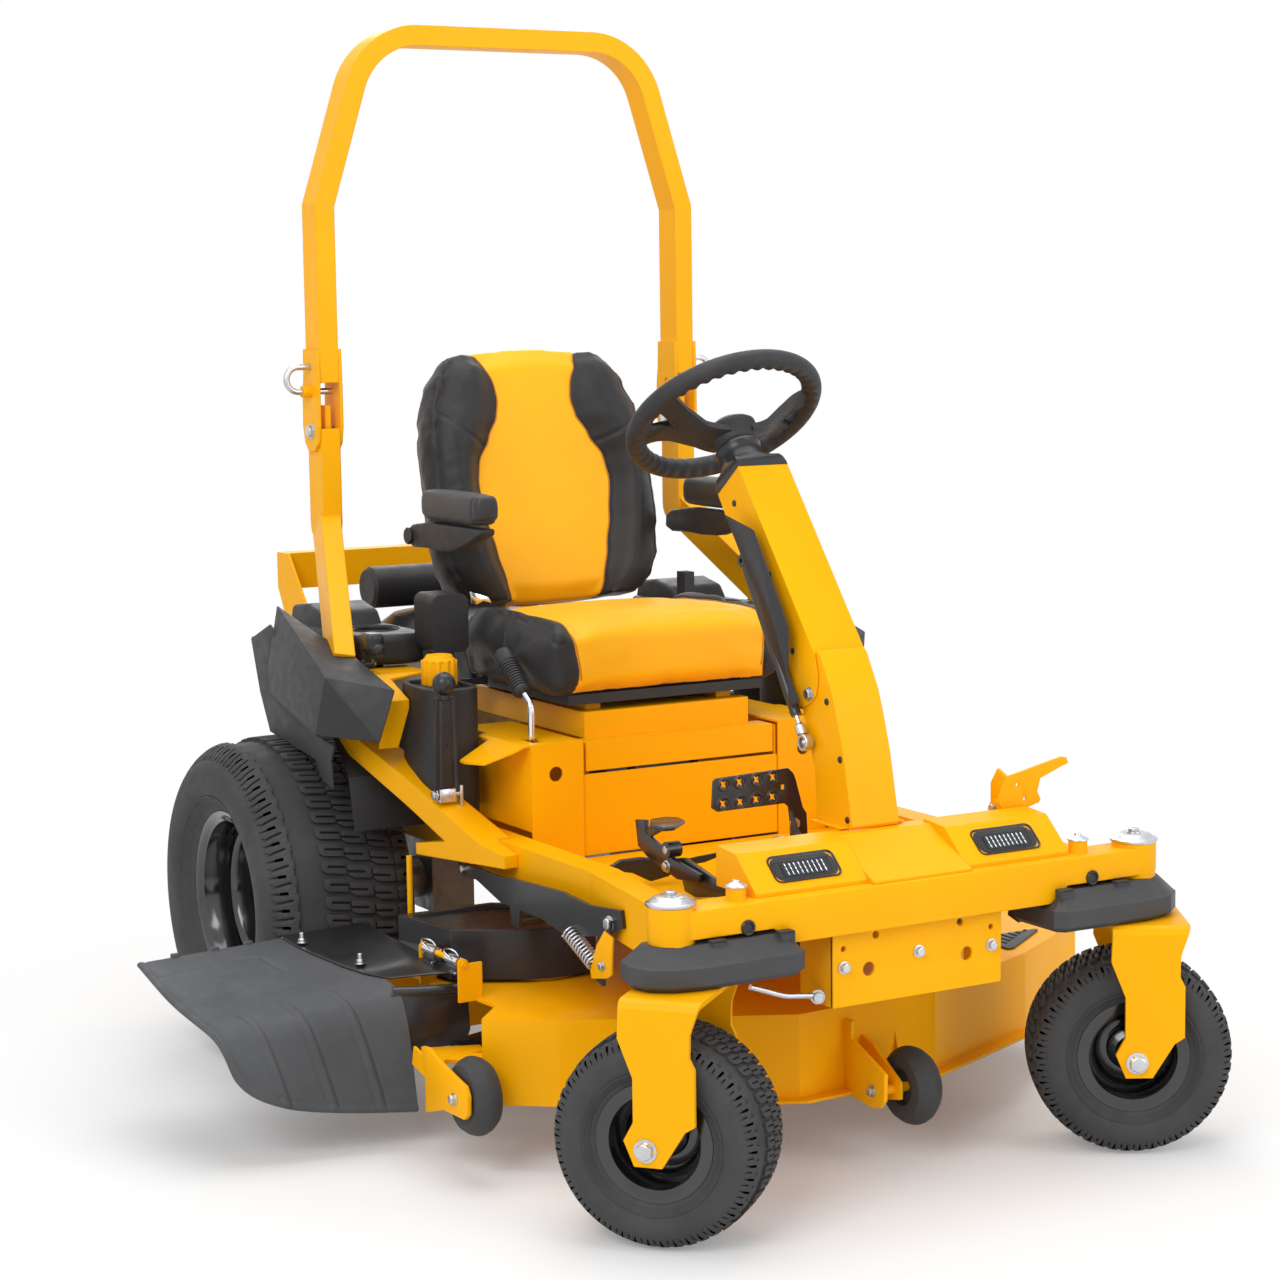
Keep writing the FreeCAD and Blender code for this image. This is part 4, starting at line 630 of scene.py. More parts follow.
casterTable = {"right": (-438.0, 41.0), "left": (438.0, 59.0)}
casterY, casterTrail = -1312.0, 8.0
tyres = {}
for side, x in (("right", -506.0), ("left", 506.0)):
    if side == "right":
        tyres["rear"] = makeTyre("rightRearTread", "rear", (x, 0, 298), 0)
        tyre = tyres["rear"]
    else:
        tyre = mirroredOver(tyres["rear"], "leftRearTread")
    finished(tyre, side + "_rear", tyreRubber, "tyre", side + "_rear_tyre")


def casterPoint(side, x, y, z):  # a point drawn about the pivot, turned with the fork
    pivot, swivel = casterTable[side]
    turn = math.radians(swivel)
    return (pivot + x * math.cos(turn) - y * math.sin(turn), casterY + x * math.sin(turn)
            + y * math.cos(turn), z)


def casterAxis(side, flip=1):
    turn = math.radians(casterTable[side][1])
    return Vector((math.cos(turn) * flip, math.sin(turn) * flip, 0))


frontTyre = makeTyre("frontTread", "front", (0, 0, 165), 0)
for side in ("right", "left"):
    centre = casterPoint(side, 0, casterTrail, 0)
    place = Matrix.Translation(at(*centre)) @ Matrix.Rotation(math.radians(casterTable[side][1]), 4, "Z")
    tyre = copied(frontTyre, side + "FrontTread", place @ Matrix.Translation(-axleShift))
    finished(tyre, side + "_front", tyreRubber, "tyre", side + "_front_tyre")
bpy.data.objects.remove(frontTyre)
print("tyres ready")

# rims: pressed steel, glossy black, with rolled lips and steps
rimTable = {
    "rear": [(-119, 160), (-119.5, 166), (-117, 168.6), (-113.5, 168), (-112, 164), (-111.5, 153),
             (-104, 151), (-96, 149), (-92, 144), (-60, 142), (-54, 133), (-12, 131), (20, 146), (96, 149),
             (111.5, 153), (113, 167), (117, 168.6), (119, 160), (117, 148), (90, 144), (30, 140), (26, 128),
             (15, 120), (-2, 116), (-4, 104), (2, 90), (13, 78), (15, 60), (15, 21), (11, 21), (11, 58),
             (8, 74), (-4, 86), (-10, 102), (-10, 122), (-50, 127), (-56, 131), (-60, 136), (-90, 139),
             (-97, 143), (-110, 147), (-114, 154)],
    "front": [(-67, 86), (-67.5, 91), (-65, 92.8), (-62, 92), (-61, 77), (-54, 74), (-48, 70), (-20, 68),
              (-14, 73), (54, 74), (61, 77), (62, 92), (65, 92.8), (67.5, 91), (67, 86), (64, 72), (52, 69),
              (18, 68), (12, 64), (-2, 58), (-10, 48), (-10, 36), (-20, 32), (-20, 26), (-14, 26), (-14, 31),
              (-5, 34), (-5, 49), (-13, 60), (-20, 63), (-46, 65), (-54, 69), (-64, 72)],
}


def makeRim(name, kind):
    rim = lathe(name, rimTable[kind], (0, 0, 0), (0, 0, 1), 72, 42)
    rim.data.transform(Matrix.Translation(-axleShift))
    rim.data.transform(Matrix.Rotation(math.radians(90), 4, "Y"))
    return rim


rearRim = makeRim("rearRim", "rear")
hub = lathe("rearHub", [(-38, 0), (-38, 20), (-34, 24), (-14, 24), (-10, 58), (12, 62), (20, 62), (20, 0)],
            (0, 0, 0), (1, 0, 0), 40)
hub.data.transform(Matrix.Translation(-axleShift))
studs = []
for i in range(5):
    angle = math.radians(90 + 72 * i)
    nut = bolt("lugNut%d" % i, (-10, 50 * math.cos(angle), 50 * math.sin(angle)), (-1, 0, 0), 11.5, 15)
    nut.data.transform(Matrix.Translation(-axleShift))
    studs.append(nut)
rightRim = copied(rearRim, "rightRearRim", Matrix.Translation(at(-506, 0, 298)))
rightHub = copied(hub, "rightRearHub", Matrix.Translation(at(-506, 0, 298)))
rightNuts = joined("rightLugNuts", studs)
rightNuts.data.transform(Matrix.Translation(at(-506, 0, 298)))
for piece, finish, slot, ending in ((rightRim, rimPaint, "black_paint", "Rim"),
                                    (rightHub, rimPaint, "black_paint", "Hub"),
                                    (rightNuts, zinc, "steel", "Nuts")):
    twin = mirroredOver(piece, "leftRear" + ending)
    finished(twin, "left_rear", finish, slot, *(["left_rear_wheel"] if ending == "Rim" else []))
    finished(piece, "right_rear", finish, slot, *(["right_rear_wheel"] if ending == "Rim" else []))
bpy.data.objects.remove(rearRim)
bpy.data.objects.remove(hub)
frontRim = makeRim("frontRim", "front")
frontHub = lathe("frontHub", [(-72, 10.2), (-72, 22), (-69, 24), (-30, 24), (-24, 34), (-12, 34), (-6, 24),
                              (69, 24), (72, 22), (72, 10.2)], (0, 0, 0), (1, 0, 0), 40)
frontHub.data.transform(Matrix.Translation(-axleShift))
for side in ("right", "left"):
    centre = casterPoint(side, 0, casterTrail, 165)
    place = Matrix.Translation(at(*centre)) @ Matrix.Rotation(math.radians(casterTable[side][1]), 4, "Z")
    finished(copied(frontRim, side + "FrontRim", place), side + "_front", rimPaint, "black_paint", side
             + "_front_wheel")
    finished(copied(frontHub, side + "FrontHub", place), side + "_front", rimPaint, "black_paint")
    for flip in (-1, 1):
        point = casterPoint(side, flip * 105.2, casterTrail, 165)
        head = bolt(side + "AxleHead%d" % (flip + 1), point, casterAxis(side, flip), 14.0, 9.6)
        finished(head, side + "_caster", zinc, "steel")
bpy.data.objects.remove(frontRim)
bpy.data.objects.remove(frontHub)
print("rims ready")

# seat: padded cushion, backrest and armrests
def between(table, value):  # steps smoothly through (place, amount) pairs
    if value <= table[0][0]:
        return table[0][1]
    for (low, a), (high, b) in zip(table, table[1:]):
        if value <= high:
            t = (value - low) / (high - low)
            return a + (b - a) * t * t * (3 - 2 * t)
    return table[-1][1]


def ease(low, high, value):
    t = min(1.0, max(0.0, (value - low) / (high - low)))
    return t * t * (3 - 2 * t)


def plump(piece, voxel, cap, pressure=4.0):
    # an airtight skin blown up a little, so that it crowns and draws in between its corners
    modify(piece, "REMESH", mode="VOXEL", voxel_size=voxel / 1000)
    rest = [vertex.co.copy() for vertex in piece.data.vertices]
    takeOnly(piece)
    cloth = piece.modifiers.new("Cloth", "CLOTH")
    cloth.settings.use_pressure = True
    cloth.settings.uniform_pressure_force = pressure
    cloth.settings.quality = 4
    cloth.settings.tension_stiffness = 25
    cloth.settings.compression_stiffness = 25
    cloth.settings.effector_weights.gravity = 0
    cloth.point_cache.frame_start = 1
    cloth.point_cache.frame_end = 20
    for step in range(1, 21):
        scene.frame_set(step)
    bpy.ops.object.modifier_apply(modifier=cloth.name)
    scene.frame_set(1)
    for vertex, start in zip(piece.data.vertices, rest):
        move = vertex.co - start
        if move.length > cap / 1000:
            vertex.co = start + move * (cap / 1000 / move.length)
    modify(piece, "SMOOTH", factor=0.5, iterations=7)
    modify(piece, "SUBSURF", levels=1, render_levels=1)
    return smooth(piece, 80)


def sew(piece, toLocal, seams, depth, width):
    # draws the skin in along each seam; a seam gives its distance in millimetres at a local point
    normals = [vertex.normal.copy() for vertex in piece.data.vertices]
    for vertex, normal in zip(piece.data.vertices, normals):
        place = toLocal(vertex.co)
        pull = 0.0
        for seam in seams:
            gap = seam(place)
            if gap is not None:
                pull = max(pull, math.exp(-((gap / width) ** 2)))
        if pull > 0.02:
            vertex.co -= normal * (depth * pull / 1000)


def markPanel(piece, toLocal, inside):  # how far inside the coloured panel each point lies, in millimetres
    layer = piece.data.attributes.new("panel", "FLOAT", "POINT")
    for vertex, value in zip(piece.data.vertices, layer.data):
        value.value = inside(toLocal(vertex.co))


def surfacePoint(piece, start, direction):
    hit, place, normal = piece.ray_cast(start, direction)[:3]
    return (place + normal * 0.0006) if hit else None


def mmBack(place):
    place = (place - axleShift) * 1000
    return (place.x, place.y, place.z)


def pipingAlong(name, piece, starts, direction, radius, body, finish):
    places = [surfacePoint(piece, start, direction) for start in starts]
    places = [mmBack(place) for place in places if place]
    cord = bendTube(name, places, radius, 2)
    return finished(cord, body, finish, "vinyl")


def twoToneVinyl(name, outside, inside):
    material, tree, shader = newFinish(name, outside, 0.46, specular=0.28)
    shader.inputs["Sheen Weight"].default_value = 0.05
    place = tree.nodes.new("ShaderNodeTexCoord").outputs["Object"]
    drift = noiseOn(tree, place, 7.0, 5.0)
    dark = rampOn(tree, drift, 0.3, 0.7, shaded(outside, 0.92), shaded(outside, 1.1))
    light = rampOn(tree, drift, 0.3, 0.7, shaded(inside, 0.96), shaded(inside, 1.03))
    panel = tree.nodes.new("ShaderNodeAttribute")
    panel.attribute_name = "panel"
    side = rangeOn(tree, panel.outputs["Fac"], -0.6, 0.6, 0.0, 1.0)
    mix = tree.nodes.new("ShaderNodeMix")
    mix.data_type = "RGBA"
    tree.links.new(side, mix.inputs["Factor"])
    tree.links.new(dark, mix.inputs["A"])
    tree.links.new(light, mix.inputs["B"])
    tree.links.new(mix.outputs["Result"], shader.inputs["Base Color"])
    pebble = tree.nodes.new("ShaderNodeTexVoronoi")
    pebble.inputs["Scale"].default_value = 520.0
    tree.links.new(place, pebble.inputs["Vector"])
    fine = bumpOn(tree, noiseOn(tree, place, 1400.0, 2.0), 0.10, 0.0004)
    tree.links.new(bumpOn(tree, pebble.outputs["Distance"], 0.22, 0.0006, fine), shader.inputs["Normal"])
    gloss = rangeOn(tree, pebble.outputs["Distance"], 0.0, 0.7, 0.40, 0.52)
    tree.links.new(gloss, shader.inputs["Roughness"])
    return material


seatVinyl = twoToneVinyl("seatVinyl", finishColours["vinylBlack"], finishColours["vinylYellow"])
seatTable = {"voxel": 6.5, "cushionCap": 12.0, "backCap": 10.0, "seamDepth": 2.6, "seamWidth": 3.6,
             "piping": 1.5,
             "lean": 13.0, "hinge": (-112.0, 800.0)}
leanTurn = math.radians(seatTable["lean"])
hingeY, hingeZ = seatTable["hinge"]


def backPoint(x, y, z):  # the backrest is drawn upright about its hinge
    return (x, hingeY + y * math.cos(leanTurn) + z * math.sin(leanTurn),
            hingeZ - y * math.sin(leanTurn) + z * math.cos(leanTurn))


def backLocal(place):
    x, y, z = mmBack(place)
    y, z = y - hingeY, z - hingeZ
    return (x, y * math.cos(leanTurn) - z * math.sin(leanTurn), y * math.sin(leanTurn)
            + z * math.cos(leanTurn))


backHalf = [(12, 160), (30, 196), (60, 222), (100, 238), (180, 246), (330, 244), (385, 235), (450, 212),
            (490, 188), (516, 162), (532, 140), (540, 122)]
panelHalf = [(8, 90), (60, 104), (120, 118), (180, 131), (250, 140), (290, 134), (340, 106), (380, 84),
             (410, 78), (440, 82), (480, 98), (530, 126)]


def paddedShell(name, across, tall, place):
    # a grid pulled to the front face, then drawn back to the rear one
    letGo()
    bpy.ops.mesh.primitive_grid_add(x_subdivisions=across, y_subdivisions=tall, size=2)
    piece = named(name)
    pullAll(piece, (0, 0, 1))
    shut(piece)
    for vertex in piece.data.vertices:
        vertex.co = at(*place(vertex.co.x, (vertex.co.y + 1) / 2, vertex.co.z > 0.5))
    openUp(piece)
    return shut(piece, outward=True)


def backPlace(u, v, behind):
    foot = 12 + 10 * abs(u) ** 3
    z = foot + v * (522 - 14 * abs(u) ** 2.5 - foot)
    half = between(backHalf, z) - 8
    x = u * half
    edge = between(panelHalf, z)
    bolster = between([(0, 0.75), (80, 1.0), (330, 1.0), (430, 0.72), (522, 0.42)], z)
    if behind:
        y = 40 - 16 * abs(u) ** 3 - 20 * ease(430, 522, z) - 10 * ease(60, 12, z)
    elif abs(x) < edge - 6:
        y = -40 + 12 * ease(470, 522, z) + 8 * ease(50, 12, z)
    else:
        t = (abs(x) - edge + 6) / max(20.0, half - edge + 6)
        y = (-40 - 46 * bolster * ease(0.0, 0.5, t) + 26 * bolster * ease(0.62, 1.0, t)
             + 12 * ease(470, 522, z))
    return backPoint(x, y, z)


backrest = plump(paddedShell("seatBackrest", 40, 44, backPlace), seatTable["voxel"], seatTable["backCap"])


def backPanelSeam(place):
    x, y, z = place
    return abs(abs(x) - between(panelHalf, z)) if y < -12 else None


def backSideSeam(place):
    x, y, z = place
    return abs(abs(x) - between(backHalf, z) + 20) * 0.9 if y < -20 and 30 < z < 505 else None


def backCrossSeam(place):
    x, y, z = place
    inner, outer = between(panelHalf, z), between(backHalf, z) - 20
    if y > -20 or not inner < abs(x) < outer:
        return None
    t = (abs(x) - inner) / (outer - inner)
    return abs(z - 322 - 66 * t + 14 * math.sin(t * math.pi)) * 0.85


sew(backrest, backLocal, [backPanelSeam, backSideSeam, backCrossSeam], seatTable["seamDepth"],
    seatTable["seamWidth"])
markPanel(backrest, backLocal, lambda p: between(panelHalf, p[2]) - abs(p[0]) if p[1] < 5 else -20.0)
finished(backrest, "back", seatVinyl, "vinyl", "seat_backrest")
lookBack = Vector((0, math.cos(leanTurn), -math.sin(leanTurn)))
for side in (-1, 1):
    starts = [at(*backPoint(side * between(panelHalf, z), -180, z)) for z in range(22, 512, 14)]
    pipingAlong("backPiping%d" % (side + 1), backrest, starts, lookBack, seatTable["piping"], "back",
                pipingVinyl)
    starts = [at(*backPoint(side * (between(backHalf, z) - 20), -180, z)) for z in range(40, 500, 20)]
    pipingAlong("backSeam%d" % (side + 1), backrest, starts, lookBack, 0.7, "back", blackVinyl)
print("backrest ready")

sideProfile = [(-596, 738, 818), (-588, 722, 832), (-570, 716, 840), (-500, 713, 842), (-420, 713, 840),
               (-300, 713, 834), (-214, 713, 826), (-200, 716, 816)]


def cushionHalf(y):
    return between([(-600, 236), (-570, 250), (-520, 252), (-300, 250), (-215, 242), (-198, 228)], y)


def cushionPlace(u, v, below):
    y = -594 + v * (594 - 202)
    y += 8 * abs(u) ** 4 * (1 - v) - 6 * abs(u) ** 3 * v
    x = u * cushionHalf(y)
    low = between([(row[0], row[1]) for row in sideProfile], y)
    high = between([(row[0], row[2]) for row in sideProfile], y)
    if below:
        return (x * (0.97 - 0.03 * ease(-540, -596, y)), y, low + 5)
    crown = 5 * math.cos(min(1.0, abs(x) / 190) * math.pi / 2) - 8 * math.exp(-((abs(x) - 192) / 26) ** 2)
    bolster = 16 * ease(-560, -300, y) * math.exp(-((abs(x) - 226) / 24) ** 2)
    sweep = -6 * math.exp(-((y + 545) / 22) ** 2) * ease(200, 120, abs(x)) - 24 * ease(0.94, 1.0, abs(u))
    return (x, y, high - 8 + crown + bolster + sweep)


cushion = plump(paddedShell("seatCushion", 44, 34, cushionPlace), seatTable["voxel"], seatTable["cushionCap"])


def cushionEdge(place):  # the panel narrows down the front face
    return 198 - 0.13 * max(0.0, 836 - place[2]) * ease(-560, -590, place[1])


def cushionSeam(place):
    return abs(abs(place[0]) - cushionEdge(place)) if place[2] > 724 else None


def cushionSideSeam(place):
    x, y, z = place
    line = between([(-596, 800), (-540, 822), (-400, 836), (-280, 846), (-200, 820)], y)
    return abs(z - line) if abs(x) > 215 else None


def plainPlace(place):
    return mmBack(place)


sew(cushion, plainPlace, [cushionSeam, cushionSideSeam], seatTable["seamDepth"], seatTable["seamWidth"])
markPanel(cushion, plainPlace, lambda p: cushionEdge(p) - abs(p[0]) if p[2] > 717 else -10.0)
finished(cushion, "seat", seatVinyl, "vinyl", "seat_cushion")
for side in (-1, 1):
    down = [surfacePoint(cushion, at(side * 197, y, 900), Vector((0, 0, -1))) for y in range(-215, -566, -14)]
    front = [surfacePoint(cushion, at(side * (197 - 0.13 * max(0, 836 - z)), -700, z), Vector((0, 1, 0)))
             for z in range(812, 728, -12)]
    places = [mmBack(place) for place in down + front if place]
    finished(bendTube("cushionPiping%d" % (side + 1), places, seatTable["piping"], 2), "seat", pipingVinyl,
             "vinyl")
print("cushion ready")

armTable = {"low": (249, -427, 999), "high": (307, -179, 1063), "endSeam": -401}
for side, name in ((-1, "right"), (1, "left")):
    low, high = Vector(armTable["low"]), Vector(armTable["high"])
    pad = block(name + "ArmrestPad", low + Vector((4, 4, 4)), high - Vector((4, 4, 4)), 14, 3)
    modify(pad, "SUBSURF", levels=1, render_levels=1)
    pad = plump(pad, 5.0, 6.0, 3.0)
    sew(pad, plainPlace, [lambda p: abs(p[1] - armTable["endSeam"]),
                          lambda p: abs(p[2] - 1012) if p[1] < armTable["endSeam"] else None],
        2.2, 3.0)
    lever = [(-110, 956), (-112, 980), (-134, 990), (-200, 998), (-416, 998), (-414, 986), (-360, 966),
             (-297, 950), (-240, 948), (-190, 950), (-134, 948)]
    bracket = plate(name + "ArmBracket", lever, "x", 262, 294, 5, 3)
    knob = lathe(name + "ArmHinge", [(0, 0), (0, 15), (2, 16), (5, 16), (7, 14), (7, 0)],
                 (293, -124.5, 968.1), (1, 0, 0), 32)
    pieces = [(pad, blackVinyl, "vinyl", [name + "_armrest"]), (bracket, softPlastic, "black_plastic", []),
              (knob, smoothPlastic, "black_plastic", [])]
    for piece, finish, slot, old in pieces:
        if side < 0:
            piece.data.transform(otherSide)
            piece.data.flip_normals()
        finished(piece, name + "_arm", finish, slot, *old)
print("armrests ready")

# discharge chute: ribbed rubber under a rolled steel hinge plate
# where the chute's skin lies at one side distance, a given way along from its rear edge
def chutePath(x, reach):
    s = (-560 - x) / 360
    line = [Vector((-340, 300 - 14 * s)), Vector((-640 + 40 * s, 284 - 52 * s)),
            Vector((-708 + 68 * s, 262 - 62 * s)),
            Vector((-712 + 64 * s, 60 + 6 * s))]
    for turn in range(4):
        line = [line[0]] + [p for a, b in zip(line, line[1:])
                            for p in (a.lerp(b, 0.25), a.lerp(b, 0.75))] + [line[-1]]
    for a, b in zip(line, line[1:]):
        step = (b - a).length
        if reach <= step:
            break
        reach -= step
    place = a.lerp(b, min(reach / step, 1.0))
    normal = Vector((b.x - a.x, b.y - a.y)).normalized()
    return place, Vector((-normal.y, normal.x)) * -1


def along(table, t):  # straight steps through (t, first, second) points, t from 0 to 1
    for low, high in zip(table, table[1:]):
        if t <= high[0]:
            part = (t - low[0]) / (high[0] - low[0])
            return Vector(low[1:]).lerp(Vector(high[1:]), part)
    return Vector(table[-1][1:])


def paced(points):  # each point's share of the whole length in front of it
    run = [0.0]
    for a, b in zip(points, points[1:]):
        run.append(run[-1] + math.dist(a, b))
    return [(length / run[-1], *point) for length, point in zip(run, points)]


def rounded(points, turns=2):  # cuts the corners of an open line
    for turn in range(turns):
        points = [points[0]] + [tuple(a[i] + (b[i] - a[i]) * k for i in range(len(a)))
                                for a, b in zip(points, points[1:]) for k in (0.25, 0.75)] + [points[-1]]
    return points


def patchSheet(name, rear, front, outer, inner, across, down, thick, lift, dent):
    # a sheet stretched between four border lines on the chute's skin, with ribs and grooves pressed in
    rear, front, outer, inner = (paced(line) for line in (rear, front, outer, inner))
    corners = [Vector(rear[0][1:]), Vector(rear[-1][1:]), Vector(front[0][1:]), Vector(front[-1][1:])]
    letGo()
    bpy.ops.mesh.primitive_grid_add(x_subdivisions=across, y_subdivisions=down, size=2)
    piece = named(name)
    pullAll(piece, (0, 0, 1))
    shut(piece)
    for vertex in piece.data.vertices:
        u, v = (vertex.co.x + 1) / 2, (vertex.co.y + 1) / 2
        spot = (along(rear, u) * (1 - v) + along(front, u) * v
                + along(outer, v) * (1 - u) + along(inner, v) * u)
        spot -= ((corners[0] * (1 - u) + corners[1] * u) * (1 - v)
                 + (corners[2] * (1 - u) + corners[3] * u) * v)
        place, normal = chutePath(spot.x, spot.y)
        rise = lift + (dent(spot.x, spot.y) if vertex.co.z > 0.5 else -thick)
        vertex.co = at(spot.x, place.x + normal.x * rise, place.y + normal.y * rise)
        vertex.co.x = max(vertex.co.x, cadBounds[0][0])
    openUp(piece)
    return shut(piece, outward=True)


chuteTable = {"thick": 6.0, "rib": 2.6, "groove": 1.8, "hem": 4.2, "across": 150, "down": 150,
              "ribs": ((-840, 262, -790, 452), (-770, 264, -714, 482), (-696, 259, -636, 512))}
chuteOuter = rounded([(-919, 0), (-919.5, 64), (-919.5, 145), (-914, 207), (-900, 280), (-884, 326),
                      (-877, 352)], 2)
chuteFront = rounded([(-877, 352), (-869, 378), (-846, 410), (-812, 438), (-774, 463), (-690, 502),
                      (-575, 548)], 2)
chuteRear = [(-919, 0), (-600, 0)]
chuteInner = [(-600, 0), (-596, 270), (-575, 548)]


def lineGap(x, t, points):
    best = 999.0
    for (ax, firstT), (bx, lastT) in zip(points, points[1:]):
        dx, dt = bx - ax, lastT - firstT
        part = min(1.0, max(0.0, ((x - ax) * dx + (t - firstT) * dt) / (dx * dx + dt * dt)))
        best = min(best, math.hypot(x - ax - dx * part, t - firstT - dt * part))
    return best


def chuteDent(x, t):
    rise = 0.0
    for topX, topT, lowX, lowT in chuteTable["ribs"]:
        if topT - 12 < t < lowT + 14:
            part = (t - topT) / (lowT - topT)
            middle = topX + (lowX - topX) * part
            fade = ease(topT - 12, topT + 6, t) * ease(lowT + 14, lowT - 4, t)
            rise += chuteTable["rib"] * fade * math.exp(-(((x - middle) / 5.5) ** 4))
            rise -= chuteTable["groove"] * fade * math.exp(-(((x - middle - 8) / 2.4) ** 2))
            rise -= 0.8 * fade * math.exp(-(((x - middle + 8) / 2.0) ** 2))
    frameLine = lineGap(x, t, [(-905, 66), (-778, 54), (-726, 70), (-716, 150)])
    rise -= 2.2 * math.exp(-((frameLine / 5.0) ** 2))
    rise -= 1.0 * math.exp(-((lineGap(x, t, [(-890, 205), (-738, 182), (-716, 150)]) / 3.5) ** 2))
    rise -= 0.9 * math.exp(-((lineGap(x, t, [(-896, 262), (-640, 238)]) / 3.0) ** 2))
    edge = lineGap(x, t, chuteOuter + chuteFront[1:])
    rise += 1.6 * ease(9.0, 4.0, edge) - 1.0 * math.exp(-(((edge - 11) / 2.2) ** 2))
    return rise


rubber = patchSheet("chuteRubber", chuteRear, chuteFront, chuteOuter, chuteInner, chuteTable["across"],
                    chuteTable["down"], chuteTable["thick"], 0.0, chuteDent)
smooth(rubber, 60)
hemLine = []
for x, t in chuteOuter + chuteFront[1:]:
    place, normal = chutePath(x, t)
    hemLine.append((x, place.x - normal.x * 3, place.y - normal.y * 3))
hem = bendTube("chuteHem", hemLine, chuteTable["hem"], 4)
tabs = []
for x in (-854, -782, -720):
    place, normal = chutePath(x, 0)
    tabs.append(block("chuteTab%d" % -x, (x - 7, place.x - 4, place.y - 8), (x + 7, place.x + 9, place.y + 5),
                      2.0, 2))
finished(joined("chuteRubber", [rubber, hem] + tabs), "chute_flap", chuteRubber, "rubber", "chute")

steelTop = patchSheet("chuteSteelTop", [(-660, 0), (-503, 0)], [(-590, 300), (-486, 352)],
                      rounded([(-660, 0), (-655, 77), (-624, 240), (-590, 300)], 1),
                      [(-503, 0), (-503, 240), (-486, 352)],
                      16, 40, 3.0, 3.6, lambda x, t: 0.0)
steelTop = smooth(softEdges(steelTop, 0.7, 2, 60), 40)
roll = bendTube("chuteRolledEdge", [(-600, -672, 262), (-560, -684, 260), (-520, -692, 259),
                                    (-474, -700, 258)], 9.5, 8)
faceLine = [(-604, 262), (-484, 258), (-476, 236), (-474, 190), (-484, 166), (-556, 163), (-574, 150),
            (-590, 126), (-606, 122), (-622, 134), (-624, 170), (-612, 204), (-618, 232)]
face = plate("chuteSteelFace", faceLine, "y", -706, -702.5, 1.0, 2)
openUp(face)
shut(face)
for vertex in face.data.vertices:  # the plate turns back a little towards its outer end
    x, y, z = mmBack(vertex.co)
    vertex.co = at(x, y + 0.22 * max(0.0, -490 - x) * 0.9 + 0.05 * max(0.0, z - 200), z)
knuckles = [lathe("chuteKnuckle%d" % i, [(0, 5.4), (0.8, 9), (44, 9), (44.8, 5.4)], (-505, low, 312),
                  (0, 1, 0), 32)
            for i, low in enumerate((-735.5, -648.5))]
ears = [plate("chuteEar%d" % i, [(-512, 290), (-494, 290), (-496, 306), (-505, 308), (-513, 303)], "y", y,
              y + 40, 1.0)
        for i, y in enumerate((-733, -646))]
finished(joined("chuteSteel", [steelTop, roll, face] + ears), "chute_flap", blackPaint, "black_paint",
         "chute_plate")
finished(joined("chuteKnuckles", knuckles), "chute_flap", chrome, "chrome")
springs = []
for i, y in enumerate((-716, -629)):
    clip = [(-515, y, 318), (-518, y + 14, 325), (-513, y + 26, 328), (-499, y + 27, 326),
            (-493, y + 14, 319), (-496, y - 2, 303), (-505, y - 18, 297), (-519, y - 26, 298)]
    springs.append(bendTube("chuteClip%d" % i, rounded(clip, 1), 1.5, 3))
for x, y in ((-645, -400), (-607, -560)):
    t = -340 - y
    place, normal = chutePath(x, t)
    base = (x, y, place.y + 6.4)
    springs.append(bolt("chuteBolt%d" % -y, base, (0, 0.05, 1), 7.0, 6.0))
    springs.append(lathe("chuteStud%d" % -y, [(7, 0), (7, 4.2), (17, 4.2), (18.5, 3.2), (18.5, 0)], base,
                         (0, 0.05, 1), 20))
springs.append(lathe("chuteRivet", [(0, 0), (0, 11), (2, 11.4), (3.4, 10), (3.6, 6.4), (5.4, 5.8), (5.8, 4.4),
                                    (3.8, 3.6), (3.8, 0)],
                     (-590, -682.6, 170), (-0.2, -1, 0), 32))
finished(joined("chuteFixings", springs), "chute_flap", zinc, "steel")
print("chute ready")

# belt covers: pressed lids with a raised rim, and the step plate
coverTable = {"top": 344.6, "low": 258.5}
coverPlans = {
    "Right": [(-498, -479), (-474, -636), (-368, -704), (-322, -720), (-238, -716), (-224, -640),
              (-234, -545), (-320, -479)],
    "Left": [(380, -560), (392, -735), (540, -745), (560, -640), (556, -545), (450, -540)]}
lids = []
for name, plan in coverPlans.items():
    lid = plate("beltLid" + name, plan, "z", coverTable["low"], coverTable["top"])
    openUp(lid)
    pickFaces(lid, lambda c, n: n.z < -0.9)
    bpy.ops.mesh.delete(type="FACE")
    pickFaces(lid, lambda c, n: n.z > 0.9)
    bpy.ops.mesh.inset(thickness=0.016, depth=0.0)
    bpy.ops.mesh.inset(thickness=0.004, depth=-0.006)
    shut(lid)
    modify(lid, "SOLIDIFY", thickness=0.0025, offset=-1.0)
    softEdges(lid, 2.2, 3, 40)
    lids.append(smooth(lid))
finished(joined("beltLids", lids), "deck", smoothPlastic, "black_plastic", "belt_covers")
stepPlan = [(469, -955), (590, -868), (590, -860), (455, -860), (455, -955)]
stepPlate = plate("deckStep", stepPlan, "z", 252.2, 256.2, 1.2)
treads = [plate("deckTread%d" % i, [(472 + 17 * i, -928 + 12 * i), (481 + 17 * i, -922 + 12 * i),
                                    (481 + 17 * i, -866), (472 + 17 * i, -866)],
                "z", 255.6, 258.4, 1.0) for i in range(6)]
finished(joined("deckStep", [stepPlate] + treads), "deck", guardPlastic, "grey_plastic")
print("deck covers ready")

